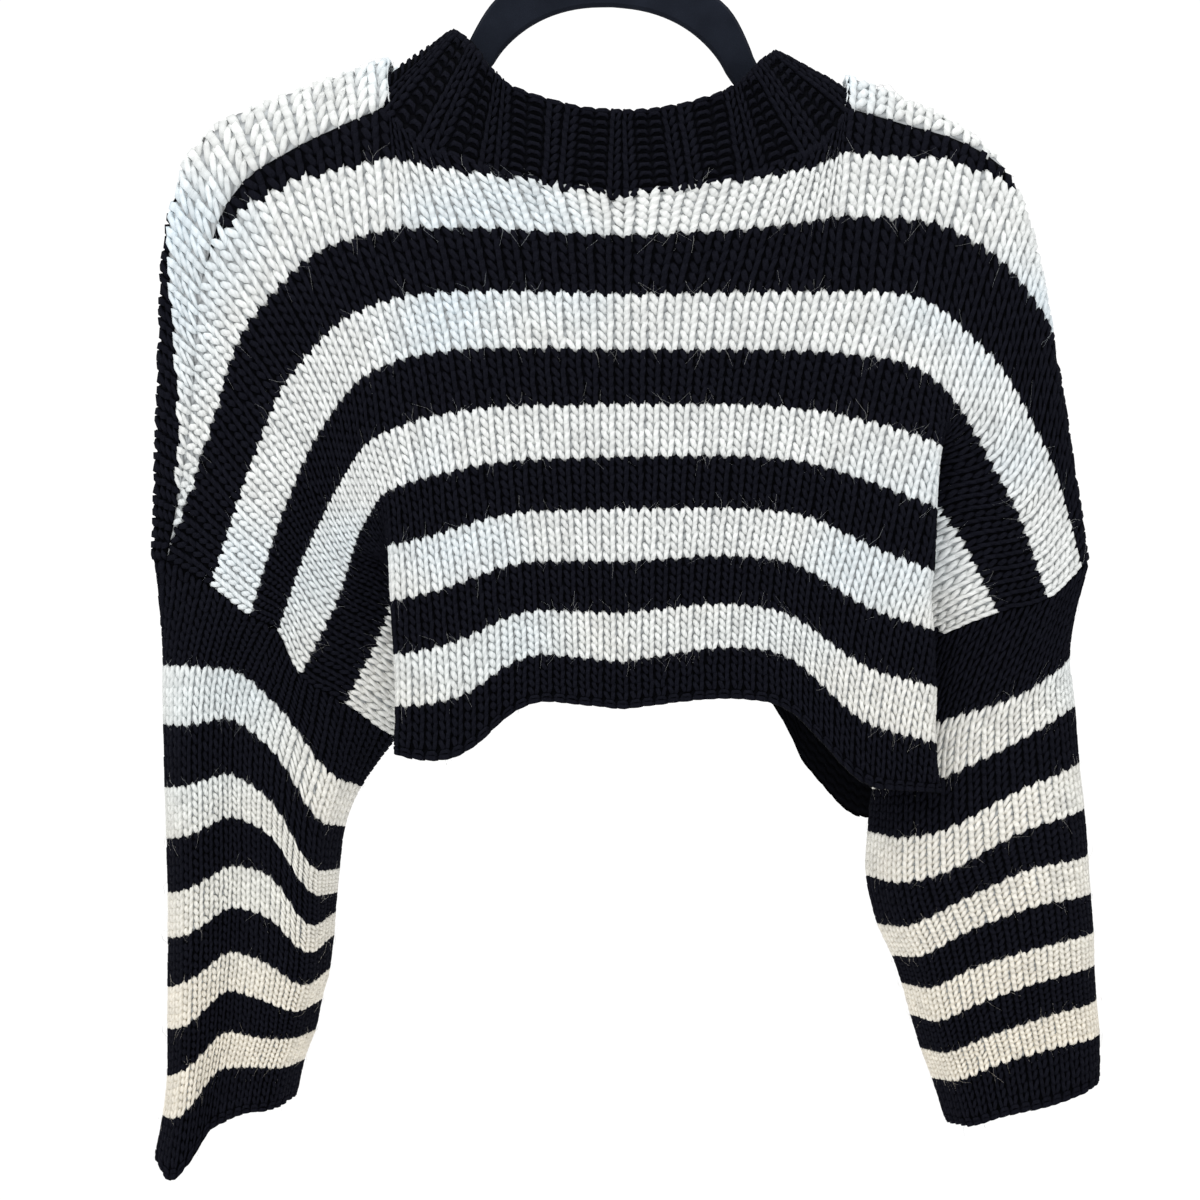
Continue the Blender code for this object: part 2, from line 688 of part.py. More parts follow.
def neck_loop(panels):
    """The neck's edge, from the middle of the back by -X round the front and back by +X."""
    (back, back_out), (front, front_out) = panels
    columns = panel_columns()
    middle = int(np.argmin(np.abs(columns)))
    left = int(np.argmin(np.abs(columns + NECK_COLUMN)))
    right = int(np.argmin(np.abs(columns - NECK_COLUMN)))
    order = (
        [(back, back_out, i) for i in range(middle, left, -1)]
        + [(front, front_out, i) for i in range(left, right + 1)]
        + [(back, back_out, i) for i in range(right - 1, middle, -1)]
    )
    places = np.array([grid[-1, i] for grid, _, i in order])
    outs = np.array([normals[-1, i] for _, normals, i in order])
    return places, outs


def resampled(loop, extra, count):
    """A closed loop read at even steps, kept on its sharp corners, with a second list
    read at the same places."""
    closed = np.concatenate([loop, loop[:1]])
    closed_extra = np.concatenate([extra, extra[:1]])
    along = np.concatenate([[0], np.cumsum(np.linalg.norm(np.diff(closed, axis=0), axis=1))])
    at = np.linspace(0, along[-1], count, endpoint=False)
    ahead = np.roll(loop, -1, axis=0) - loop
    ahead /= np.linalg.norm(ahead, axis=1, keepdims=True)
    straightness = (ahead * np.roll(ahead, 1, axis=0)).sum(axis=1)
    for corner in np.flatnonzero(straightness < CORNER_COSINE):
        at[np.argmin(np.abs(at - along[corner]))] = along[corner]
    places = np.stack([np.interp(at, along, closed[:, k]) for k in range(3)], axis=1)
    extras = np.stack([np.interp(at, along, closed_extra[:, k]) for k in range(3)], axis=1)
    return places, extras / np.linalg.norm(extras, axis=1, keepdims=True)


def collar_top(base):
    """Where the collar's free edge stands above each point of its seam."""
    x, y, z = base.T
    table_back = np.array(COLLAR_TOP_BACK, float)
    table_front = np.array(COLLAR_TOP_FRONT, float)
    result = np.zeros_like(base)
    for i in range(len(base)):
        table = table_back if y[i] < 0 else table_front
        side_scale = 1.0 if x[i] < 0 else COLLAR_TOP_RIGHT_SCALE
        side_drop = 0.0 if x[i] < 0 else COLLAR_TOP_RIGHT_DROP * (abs(x[i]) / 124) ** 2
        # Beside the crest the seam runs straight up, so depth tells the places apart.
        measure = abs(x[i]) - abs(y[i]) * 0.5
        out = np.interp(measure, table[:, 0], table[:, 1])
        drop = np.interp(measure, table[:, 0], table[:, 2])
        deep = np.interp(measure, table[:, 0], table[:, 3])
        result[i] = (np.sign(x[i]) * out * side_scale, np.sign(y[i]) * deep, -(drop + side_drop))
    return result


def make_collar(name, panels, material):
    """The collar: ribs raised in the wall's outer points over a plain inside."""
    count = COLLAR_RIBS * RIB_STEPS
    base, base_out = resampled(*neck_loop(panels), count)
    top = collar_top(base)
    for _ in range(COLLAR_SMOOTHINGS):
        top = (np.roll(top, 1, axis=0) + top * 2 + np.roll(top, -1, axis=0)) / 4
    grid = np.array([base + (top - base) * share for share in COLLAR_LINES])
    # Over the shoulders the seam is drawn in a little, clear of the panels' edges.
    shoulder = np.clip(1 - np.abs(base[:, 1]) / COLLAR_EASE_DEEP, 0, 1)
    grid[0, :, 0] -= np.sign(base[:, 0]) * shoulder * COLLAR_EASE
    normals = grid_normals(grid, closed=True)
    middle = grid.mean(axis=(0, 1))
    if ((grid - middle) * normals).sum() < 0:
        normals = -normals
    normals[0] = base_out
    phase = np.arange(count) / RIB_STEPS
    ridge = RIB_RISE * (0.5 + 0.5 * np.cos(2 * math.pi * phase))
    rise = np.outer(COLLAR_RISES, ridge)
    outer = grid + normals * (WALL / 2 + rise[..., None])
    inner = grid - normals * WALL / 2
    return place_object(name, wall_mesh(name, outer, inner, closed=True), material)


# -------------------------------------------------------------------- hanger


def swept(name, path, sideways, section):
    """A closed bar: section pairs (across, deep) set square to a path in the XZ plane."""
    mesh = bpy.data.meshes.new(name)
    form = bmesh.new()
    rings = []
    for place, side, shape in zip(path, sideways, section):
        ring = [(place[0] + side[0] * a, d, place[1] + side[1] * a) for a, d in shape]
        rings.append([form.verts.new((x * MM, y * MM, z * MM)) for x, y, z in ring])
    count = len(rings[0])
    for low, high in zip(rings, rings[1:]):
        for i in range(count):
            k = (i + 1) % count
            form.faces.new((low[i], low[k], high[k], high[i]))
    form.faces.new(rings[0][::-1])
    form.faces.new(rings[-1])
    bmesh.ops.recalc_face_normals(form, faces=form.faces)
    if form.calc_volume(signed=True) < 0:
        bmesh.ops.reverse_faces(form, faces=form.faces)
    form.to_mesh(mesh)
    form.free()
    return mesh


def square_to(path):
    """The unit way across a path in a plane, to its left."""
    along = np.gradient(path, axis=0)
    along /= np.linalg.norm(along, axis=1, keepdims=True)
    return np.stack([-along[:, 1], along[:, 0]], axis=1)


def hanger_path():
    """Middle line of the hanger's band, from the -X tip over the neck arch to the +X tip,
    before its tilt, as (x, z) about the middle of its top."""
    half_arch = []
    for step in range(ARCH_STEPS + 1):
        share = step / ARCH_STEPS
        # A flat-topped arch that turns out into the arm.
        angle = share * math.radians(90)
        x = ARCH_HALF_WIDTH * math.sin(angle) ** 0.9
        z = -ARCH_HEIGHT * (1 - math.cos(angle) ** 1.3)
        half_arch.append((x, z))
    neck = np.array(half_arch[:-2])
    arm_start = np.array((ARM_START_OUT, -ARM_START_DROP))
    arm_end = arm_start + (ARM_SPAN - ARM_START_OUT) * np.array((1.0, -math.tan(ARM_SLOPE)))
    shares = np.linspace(0, 1, 5)[:, None]
    arm = arm_start + (arm_end - arm_start) * shares + np.array((0.0, ARM_LIFT)) * shares**2
    half = np.concatenate([neck, arm])
    knots = np.arange(len(half))
    at = np.linspace(0, len(half) - 1, 2 * len(half) - 1)
    places = np.concatenate([half, np.zeros((len(half), 1))], axis=1)
    half = bent_line(at, knots, places, 0.5)[:, :2]
    return np.concatenate([half[:0:-1] * (-1, 1), half])


def make_hanger(name, material):
    """The hanger's flat band, tapered and rounded off towards the tips."""
    path = hanger_path()
    sideways = square_to(path)
    out = np.abs(path[:, 0])
    taper = np.clip((out - TAPER_START_OUT) / (ARM_SPAN - TAPER_START_OUT), 0, 1)
    widths = ARM_WIDTH_AT_NECK + (ARM_WIDTH_AT_TIP - ARM_WIDTH_AT_NECK) * taper
    tip = np.clip((ARM_SPAN - out) / TIP_LENGTH, 0, 1)
    widths = widths * (TIP_SHARE + (1 - TIP_SHARE) * np.sqrt(tip))
    crown = np.clip((CROWN_END_OUT - out) / (CROWN_END_OUT - CROWN_OUT), 0, 1)
    crown = crown**2 * (3 - 2 * crown) * CROWN_WIDTH
    widths = widths + crown
    path = path + sideways * (crown / 2)[:, None]
    round_off = HANGER_THICKNESS * 0.3
    half_thick = HANGER_THICKNESS / 2
    sections = []
    for width in widths:
        half = width / 2
        sections.append((
            (-half, -half_thick + round_off), (-half + round_off, -half_thick),
            (half - round_off, -half_thick), (half, -half_thick + round_off),
            (half, half_thick - round_off), (half - round_off, half_thick),
            (-half + round_off, half_thick), (-half, half_thick - round_off),
        ))
    turn = np.array((
        (math.cos(HANGER_TILT), math.sin(HANGER_TILT)),
        (-math.sin(HANGER_TILT), math.cos(HANGER_TILT)),
    ))
    middle = np.array((HANGER_CENTRE, -ARCH_TOP_DROP - ARM_WIDTH_AT_NECK / 2))
    path = path @ turn.T + middle
    sideways = sideways @ turn.T
    return place_object(name, swept(name, path, sideways, sections), material)


def make_hook(name, material):
    """A bent wire: its open end, over the top and down to its stem on the hanger."""
    radius = WIRE_DIAMETER / 2
    centre = np.array((0.0, radius - HOOK_RADIUS))
    path = []
    for step in range(HOOK_STEPS + 1):
        share = step / HOOK_STEPS
        angle = math.radians(HOOK_OPEN_ANGLE - (HOOK_OPEN_ANGLE + HOOK_UNDER_ANGLE) * share)
        path.append(centre + HOOK_RADIUS * np.array((math.cos(angle), math.sin(angle))))
    bend_end = path[-1]
    foot = np.array((HANGER_CENTRE, -ARCH_TOP_DROP + CROWN_WIDTH + SEAM_GAP))
    elbow = np.array((HANGER_CENTRE, bend_end[1] - STEM_BEND))
    for share in (0.3, 0.6, 0.85):
        a = bend_end + (elbow - bend_end) * share
        b = elbow + (foot - elbow) * share * 0.3
        path.append(a * (1 - share) + b * share)
    for share in (0.45, 0.75, 1.0):
        path.append(elbow + (foot - elbow) * share)
    path = np.array(path)
    circle = [
        (radius * math.cos(math.tau * i / WIRE_SIDES), radius * math.sin(math.tau * i / WIRE_SIDES))
        for i in range(WIRE_SIDES)
    ]
    return place_object(name, swept(name, path, square_to(path), [circle] * len(path)), material)


# --------------------------------------------------------------------- build


def clear_scene():
    """Start from nothing."""
    for thing in list(bpy.data.objects):
        bpy.data.objects.remove(thing, do_unlink=True)


def build():
    """Make every piece of the sweater and its hanger."""
    clear_scene()
    striped = principled("black_and_white_yarn", (0.75, 0.77, 0.78), 0.9)
    black = principled("black_yarn", (0.012, 0.012, 0.016), 0.95)
    velvet = principled("black_velvet", (0.01, 0.01, 0.012), 0.9)
    steel = principled("bright_steel", (0.7, 0.7, 0.72), 0.25, 1.0)
    panels = panel_grid(BACK), panel_grid(FRONT)
    make_panel("back_panel", BACK, striped)
    make_panel("front_panel", FRONT, striped)
    make_sleeve("sleeve_left", LEFT, panels, striped)
    make_sleeve("sleeve_right", RIGHT, panels, striped)
    make_collar("collar", panels, black)
    make_hanger("hanger", velvet)
    make_hook("hanger_hook", steel)


build()
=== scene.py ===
"""Looks of a cropped, striped, hand-knit sweater that hangs on a slim flocked hanger.

The cloth is knitted stitch by stitch.  Every piece of it has knit coordinates:
the column across and the row up, as a knitter counts them.  A stitch is placed
by its column and row, and Geometry Nodes wrap it onto the piece's surface.

Sizes in the tables are in millimetres.  "out" is the distance from the middle,
"drop" the distance below the rail that carries the hook, and "deep" the distance
from the mid plane.  The back of the sweater faces -Y.
"""

from __future__ import annotations

import logging
import math
from dataclasses import dataclass, field
from enum import Enum
from typing import Callable, Sequence

import bmesh
import bpy
import numpy as np
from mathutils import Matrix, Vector

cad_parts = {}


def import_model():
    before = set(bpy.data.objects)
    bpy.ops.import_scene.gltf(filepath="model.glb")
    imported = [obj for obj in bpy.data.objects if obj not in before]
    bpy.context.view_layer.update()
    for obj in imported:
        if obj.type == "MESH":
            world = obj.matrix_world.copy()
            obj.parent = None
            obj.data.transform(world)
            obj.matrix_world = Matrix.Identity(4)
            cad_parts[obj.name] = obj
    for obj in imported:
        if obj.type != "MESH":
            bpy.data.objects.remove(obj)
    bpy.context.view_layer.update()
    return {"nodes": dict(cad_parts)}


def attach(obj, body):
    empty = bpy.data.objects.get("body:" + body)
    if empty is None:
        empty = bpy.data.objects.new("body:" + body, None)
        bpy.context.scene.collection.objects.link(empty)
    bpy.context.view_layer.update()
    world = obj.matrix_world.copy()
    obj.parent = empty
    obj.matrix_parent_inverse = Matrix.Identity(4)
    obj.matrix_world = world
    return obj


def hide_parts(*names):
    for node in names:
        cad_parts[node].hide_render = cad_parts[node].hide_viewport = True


LOG = logging.getLogger("sweater")
MM = 0.001
BODY = "root"

# The middle line of the body: row, drop, column pitch, deep.
MIDDLE = (
    (0, 471.0, 6.9, 42),
    (6, 446.5, 6.9, 41),
    (12, 419.5, 7.05, 40),
    (18, 391.5, 7.25, 38),
    (24, 362.5, 7.7, 37),
    (30, 334.0, 8.0, 35),
    (36, 305.0, 8.3, 33),
    (42, 275.0, 8.85, 31),
    (48, 244.5, 9.5, 28),
    (54, 211.0, 10.6, 26),
    (60, 186.0, 11.2, 24),
)

# One row for each stripe edge of a half, from the hem up to the shoulder.
HALF_FIELDS = (
    "row", "inner", "outer", "hang",
    "edge_column", "edge_out", "edge", "edge_deep",
    "turn_column", "turn_out", "turn", "turn_deep",
    "wing_column", "wing_out", "wing", "wing_deep",
    "seam_out", "seam", "seam_deep", "fold",
)
LEFT_HALF = (
    (0, 465, 495, 501, 17.7, 124, 496, 36, 28, 52, 468, 20, 33.5, 61, 472, 11, 74, 477, 2, 1),
    (6, 440, 464, 469, 17.7, 123, 471, 35, 28, 52, 462, 20, 33.5, 67, 469, 11, 82, 482, 2, 1),
    (12, 417.5, 433, 439, 17.7, 124, 442, 35, 28, 62, 452, 20, 33.5, 82, 470, 11, 102, 488, 2, 1),
    (18, 391, 402.5, 409, 17.7, 126, 413, 35, 28, 82, 447, 20, 33.5, 103, 467, 12, 127, 491, 2, 1),
    (24, 364, 373, 379, 17.7, 127, 382, 34, 24, 128, 391, 21, 31.5, 135, 426, 15, 155, 469, 12, 1),
    (30, 336, 342, 347, 17.7, 130, 352, 33, 24, 147, 378, 23, 31.5, 158, 415, 19, 180, 456, 19, 0.1),
    (36, 306, 310.5, 315.5, 17.7, 141, 325, 29, 24, 159, 353, 21, 31.5, 178, 388, 20, 190, 427, 22, 0),
    (42, 273.5, 275.5, 280.5, 17.7, 145, 289, 22, 24.5, 171, 325, 18, 31.5, 190, 372, 21, 205, 423, 21, 0),
    (48, 242, 243.5, 248.5, 17.7, 157, 258, 17, 24.5, 189, 293, 16, 31.5, 211, 352, 19, 228, 404, 16, 0),
    (54, 207, 207, 212, 17.7, 174, 220, 14, 24.5, 213, 264, 13, 31.5, 231, 326, 14, 254, 391, 8, 0),
)
RIGHT_HALF = (
    (0, 464, 468, 514, 28, 174, 517, 36, 34, 110, 490, 20, 36.5, 116, 491, 11, 125, 494, 2, 1),
    (6, 436.5, 440, 479, 27, 171, 491, 35, 33, 112, 480, 20, 36, 120, 484, 11, 128, 488, 2, 1),
    (12, 413.5, 419.5, 449.5, 26, 172, 459.5, 35, 32, 125, 464, 20, 35.3, 132, 467, 11, 139, 471, 2, 1),
    (18, 387.5, 391, 417, 24.8, 171, 429, 35, 31.6, 119, 442, 20, 35, 136, 447, 11, 153, 452, 2, 1),
    (24, 362, 365, 382.5, 22.9, 171, 396.5, 34, 30.7, 117, 418, 20, 34.5, 141, 430, 12, 164, 444, 7, 1),
    (30, 333, 337, 348, 22, 172, 361.5, 33, 30, 125, 397, 20, 34, 152, 417, 14, 178, 431, 13, 1),
    (36, 305, 308.5, 316, 21.2, 176, 326, 30, 24.5, 155, 336, 20, 31.5, 189, 370, 18, 209, 419, 18, 0.8),
    (42, 275, 276, 279, 18.5, 163, 281.5, 23, 24.5, 197, 318, 18, 31.5, 221, 367, 20, 237, 413, 18, 0),
    (48, 243, 242, 242, 17.7, 169, 243.5, 17, 24.5, 211, 282, 15, 31.5, 240, 337, 15, 256, 394, 8, 0),
)

# The crest, where the cloth turns over from the back to the front: column, out, drop.
LEFT_CREST = ((12, 131, 109.5), (17.2, 195, 132), (20.2, 241.5, 150.5), (24, 257, 210), (38.5, 262, 391))
RIGHT_CREST = ((12, 126, 119.5), (17.7, 187, 144), (21, 220.5, 175), (25.5, 234.5, 226), (38.5, 260, 391))

# How many rows the crest lies above the shoulder seam of the back: column, rows.
TWIST = (
    (-38.5, 3.0), (-35, 5.0), (-30, 6.0), (-20, 5.0), (-12, 4.5),
    (12, 3.5), (16, 2.6), (21, -0.2), (28.5, -4.0), (38.5, -4.0),
)

# The stripe row that meets the shoulder seam on the front: column, row.
FRONT_STRIPES = ((12, 71.9), (22, 71.9), (36, 66.0), (38.5, 65.0))

# How many rows the front's hem lies above the back's: column, rows.
FRONT_HEM = (
    (-28, 0.0), (-18, 4.0), (-8, 4.0), (0, 1.0),
    (12, 0.5), (15.5, -4.0), (26, -4.0), (32, 0.0),
)

# A sleeve's rings at the stripe edges: how far out its sides lie, and its drops.
RING_FIELDS = ("outer_out", "inner_out", "outer", "strip", "valley", "belly", "ridge", "inner")
LEFT_RINGS = (
    (259, 146, 452, 450, 451, 477, 512, 517),
    (258, 155, 480, 482, 476, 497, 535, 538),
    (257, 158, 518, 516, 508, 524, 564, 564),
    (256, 159, 545, 543, 530, 541, 575, 576),
    (255, 160, 577, 573, 559, 563, 595, 585),
    (255, 161, 600, 598, 581, 587, 609, 597),
    (255, 163, 630, 624, 606, 613, 627, 617),
    (255, 168, 651, 649, 627, 633, 640, 634),
    (255, 171, 680, 673, 651, 655, 654, 652),
    (257, 178, 700, 699, 671, 669, 670, 668),
    (262, 182, 719, 737, 705, 695, 693, 688),
)
RIGHT_RINGS = (
    (250, 146, 443, 455, 470, 480, 488, 494),
    (254, 139, 469, 475, 492, 511, 516, 519),
    (256, 137, 502, 508, 518, 541, 545, 541),
    (259, 135, 527, 531, 540, 564, 569, 565),
    (261, 142, 554, 557, 560, 579, 594, 594),
    (262, 151, 575, 577, 580, 594, 609, 611),
    (264, 156, 598, 599, 604, 614, 627, 625),
    (264, 161, 615, 617, 622, 634, 646, 643),
    (265, 167, 635, 637, 642, 653, 663, 663),
    (267, 173, 653, 655, 658, 667, 677, 678),
    (267, 181, 678, 683, 690, 696, 703, 703),
)

# The collar's free edge: seam's out less half its depth, out, drop, deep.
COLLAR_TOP_BACK = (
    (-12, 0, 144, 22), (22, 31, 141, 24), (50, 63, 130, 24), (81, 76, 117, 23),
    (104, 85, 104, 18), (119, 92, 98, 9), (126, 96, 96, 2),
)
COLLAR_TOP_FRONT = (
    (-15, 0, 178, 26), (25, 30, 170, 26), (60, 58, 148, 25), (90, 74, 124, 22),
    (108, 86, 106, 16), (119, 92, 98, 9), (126, 96, 96, 2),
)


class Side(Enum):
    """The two halves of the sweater, by the sign of X."""

    LEFT = -1
    RIGHT = 1


class Face(Enum):
    """The two panels of the body, by the sign of Y."""

    BACK = -1
    FRONT = 1


class Stitch(Enum):
    """The stitch forms, in the order in which their templates are picked."""

    KNIT = 0
    PURL = 1
    EDGE = 2


# Where a ring's corners lie: shares of the way in, and columns.
RING_LAYOUT = {
    Side.LEFT: ((0.0, 0.16, 0.4, 0.66, 0.86, 1.0), (0.0, 3.4, 7.8, 12.2, 15.6, 20.0)),
    Side.RIGHT: ((0.0, 0.08, 0.32, 0.66, 0.86, 1.0), (0.0, 2.8, 6.6, 11.6, 15.2, 20.0)),
}

# ----------------------------------------------------------------- curve tools


def ramp(x: np.ndarray, half: float) -> np.ndarray:
    """Zero below -half, x above half, with a parabola between.

    Args:
        x: Where to read it.
        half: Half the width of the rounded corner.

    Returns:
        The value at each x.
    """
    x = np.asarray(x, float)
    return np.where(x <= -half, 0.0, np.where(x >= half, x, (x + half) ** 2 / (4 * half)))


def bent_line(at: np.ndarray, knots: np.ndarray, values: np.ndarray, halves: object) -> np.ndarray:
    """Straight runs between knots, with each inner corner rounded.

    Args:
        at: Where to read the line, (n,).
        knots: The corners, (K,).
        values: The place at each corner, (K, 3) or (K, n, 3).
        halves: Half width of each corner's rounding, one for all or one each.

    Returns:
        The place at each reading, (n, 3).
    """
    knots = np.asarray(knots, float)
    values = np.asarray(values, float)
    at = np.asarray(at, float)
    if values.ndim == 2:
        values = np.repeat(values[:, None, :], len(at), axis=1)
    halves = np.broadcast_to(np.asarray(halves, float), (len(knots),))
    slopes = (values[1:] - values[:-1]) / (knots[1:] - knots[:-1])[:, None, None]
    result = values[0] + slopes[0] * (at - knots[0])[:, None]
    for i in range(1, len(slopes)):
        result = result + (slopes[i] - slopes[i - 1]) * ramp(at - knots[i], halves[i])[:, None]
    return result


def from_pairs(at: np.ndarray, table: Sequence[Sequence[float]]) -> np.ndarray:
    """A value read from a two-column table.

    Args:
        at: Where to read it.
        table: Pairs of place and value.

    Returns:
        The value at each place.
    """
    return np.interp(at, [row[0] for row in table], [row[1] for row in table])


def smooth(share: np.ndarray) -> np.ndarray:
    """A share from 0 to 1, eased at both ends."""
    return share * share * (3 - 2 * share)


def linked(name: str, data: bpy.types.ID) -> bpy.types.Object:
    """A new object, linked to the scene.

    Args:
        name: Its name.
        data: Its mesh, lamp or camera.

    Returns:
        The object.
    """
    made = bpy.data.objects.new(name, data)
    bpy.context.scene.collection.objects.link(made)
    return made


def unit(vectors: np.ndarray) -> np.ndarray:
    """Vectors along the last axis, each made one long."""
    return vectors / np.linalg.norm(vectors, axis=-1, keepdims=True)


# ---------------------------------------------------------------- cloth forms


@dataclass
class Level:
    """One stripe edge of a half of the body."""

    row: float
    knots: tuple[float, ...]
    places: np.ndarray
    corners: tuple[float, ...]


@dataclass
class BodyForm:
    """The form of the body: where each column and row of its two panels hangs."""

    half_columns: float = 38.5
    underarm_row: float = 18.0
    neck_column: float = 12.0
    top_row_at_neck: float = 64.5
    shoulder_slope: float = 0.396
    front_extra_rows: float = 6.0
    back_neck_dip: float = 4.9
    back_neck_power: float = 1.5
    front_neck_dip: float = 18.0
    front_neck_power: float = 2.6
    fold_depth: float = 8.5
    fold_columns: float = 1.2
    inner_column: float = 8.0
    outer_deep_share: float = 0.35
    crisp_corner: float = 0.7
    soft_corner: float = 2.0
    side_from: float = 20.0
    side_span: float = 10.0
    over_neck_spread: float = 1.12
    row_corner: float = 2.5
    crest_corner: float = 1.8
    normal_step: float = 0.5
    outer_column: dict[Side, float] = field(default_factory=lambda: {Side.LEFT: 12.0, Side.RIGHT: 13.0})
    levels: dict[Side, list[Level]] = field(init=False)

    def __post_init__(self) -> None:
        """Work the levels out once."""
        self.levels = {side: self.half_levels(side) for side in Side}

    def middle_line(self, row: np.ndarray) -> np.ndarray:
        """Drop, pitch and depth of the middle line at each row."""
        rows = [entry[0] for entry in MIDDLE]
        return bent_line(row, rows, [entry[1:] for entry in MIDDLE], self.row_corner)

    def half_levels(self, side: Side) -> list[Level]:
        """Every stripe edge of a half.

        Args:
            side: Which half.

        Returns:
            Its levels from the hem up.
        """
        levels = []
        for entry in LEFT_HALF if side is Side.LEFT else RIGHT_HALF:
            cut = dict(zip(HALF_FIELDS, entry))
            middle_drop, pitch, middle_deep = self.middle_line([cut["row"]])[0]
            outer_column = self.outer_column[side]
            edge = np.array([cut["edge_out"], cut["edge"], cut["edge_deep"]], float)
            turn = np.array([cut["turn_out"], cut["turn"], cut["turn_deep"]], float)
            wing = np.array([cut["wing_out"], cut["wing"], cut["wing_deep"]], float)
            outer = np.array([outer_column * pitch, cut["outer"], middle_deep], float)
            outer[2] += (edge[2] - middle_deep) * self.outer_deep_share
            hang = (outer + edge) / 2
            hang[1] = cut["hang"]
            fold = cut["fold"]
            along = self.fold_columns / (cut["turn_column"] - cut["edge_column"])
            tuck = fold * (edge - (0, 0, self.fold_depth)) + (1 - fold) * (edge + (turn - edge) * along)
            along = self.fold_columns / (cut["wing_column"] - cut["turn_column"])
            back = fold * (turn - (0, 0, self.fold_depth)) + (1 - fold) * (turn + (wing - turn) * along)
            crisp = self.crisp_corner * fold + self.soft_corner * (1 - fold)
            levels.append(Level(
                cut["row"],
                (0, self.inner_column, outer_column, (outer_column + cut["edge_column"]) / 2,
                 cut["edge_column"], cut["edge_column"] + self.fold_columns, cut["turn_column"],
                 cut["turn_column"] + self.fold_columns, cut["wing_column"], self.half_columns),
                np.array([
                    (0, middle_drop, middle_deep), (self.inner_column * pitch, cut["inner"], middle_deep),
                    outer, hang, edge, tuck, turn, back, wing,
                    (cut["seam_out"], cut["seam"], cut["seam_deep"]),
                ], float),
                (1, 2.5, 2, 2, crisp, crisp, crisp, crisp, 2.0, 1),
            ))
        return levels

    def shoulder_row(self, side: Side) -> float:
        """The row of the highest level of a half."""
        return self.levels[side][-1].row

    def top_line(self, column: np.ndarray) -> np.ndarray:
        """The shoulder edge's row, carried on as a straight line over the neck."""
        return self.top_row_at_neck - self.shoulder_slope * (np.abs(column) - self.neck_column)

    def crest(self, column: np.ndarray, face: Face) -> np.ndarray:
        """The row of a panel that lies on the crest.

        Args:
            column: The columns to read.
            face: Which panel.

        Returns:
            The row at each column.
        """
        twist = from_pairs(column, TWIST)
        if face is Face.BACK:
            return self.top_line(column) + twist
        return self.top_line(column) + self.front_extra_rows - twist

    def top(self, column: np.ndarray, face: Face) -> np.ndarray:
        """The panel's top row: the neck's dip, then the shoulder.

        Args:
            column: The columns to read.
            face: Which panel.

        Returns:
            The row at each column.
        """
        across = np.clip(np.abs(column) / self.neck_column, 0, 1)
        back = face is Face.BACK
        extra = 0.0 if back else self.front_extra_rows
        dip = self.back_neck_dip if back else self.front_neck_dip
        power = self.back_neck_power if back else self.front_neck_power
        at_neck = self.top_row_at_neck + extra - dip * (1 - across**power)
        return np.where(across < 1, at_neck, self.top_line(column) + extra)

    def front_station(self, column: np.ndarray, row: np.ndarray, span: np.ndarray, side: Side) -> np.ndarray:
        """The back's row beside which each row of the front hangs.

        Args:
            column: Columns from the middle, both signs.
            row: Rows of the front.
            span: Rows between the shoulder level and the crest.
            side: Which half.

        Returns:
            The back's row.
        """
        shoulder = self.shoulder_row(side)
        hem = from_pairs(column, FRONT_HEM)
        level_row = self.crest(column, Face.FRONT) - span
        even = hem + (shoulder - hem) * self.underarm_row / level_row
        side_share = smooth(np.clip((np.abs(column) - self.side_from) / self.side_span, 0, 1))
        underarm = even + (self.underarm_row - even) * side_share
        low = hem + (underarm - hem) * row / self.underarm_row
        above = (row - self.underarm_row) / (level_row - self.underarm_row)
        return np.where(row < self.underarm_row, low, underarm + (shoulder - underarm) * above)

    def half_surface(
        self, column: np.ndarray, station: np.ndarray, rise: np.ndarray, side: Side,
    ) -> np.ndarray:
        """Out, drop and deep of the body's mid surface.

        Args:
            column: Columns from the middle, both signs.
            station: The back's row below the shoulder level.
            rise: From 0 at the shoulder level to 1 on the crest.
            side: Which half.

        Returns:
            The place at each column, (n, 3).
        """
        across = np.abs(column)
        values = []
        for level in self.levels[side]:
            place = bent_line(across, level.knots, level.places, level.corners)
            place[:, 1] -= self.middle_line([level.row])[0][0]
            values.append(place)
        rows = [level.row for level in self.levels[side]]
        crest_rows = self.crest(column, Face.BACK)
        table = LEFT_CREST if side is Side.LEFT else RIGHT_CREST
        crest = bent_line(
            np.maximum(across, self.neck_column), [entry[0] for entry in table],
            [(out, drop, 0.0) for _, out, drop in table], self.crest_corner,
        )
        over_neck = np.clip(1 - across / self.neck_column, 0, 1)[:, None]
        relative = crest.copy()
        relative[:, 1] -= self.middle_line(crest_rows)[:, 0]
        top = values[-1]
        guide = top * (self.over_neck_spread, 1, 1)
        relative = relative * (1 - over_neck) + guide * over_neck
        below = bent_line(station, rows, np.array(values), self.row_corner)
        lift = rise[:, None]
        above = top * (1 - lift) + relative * lift
        rounding = np.sqrt(np.clip(1 - rise**3, 0, 1))
        above[:, 2] = top[:, 2] * (rounding + (1 - rounding) * over_neck[:, 0])
        result = np.where(lift > 0, above, below)
        shoulder = self.shoulder_row(side)
        row = np.where(rise > 0, shoulder + rise * (crest_rows - shoulder), station)
        result[:, 1] += self.middle_line(row)[:, 0]
        return result

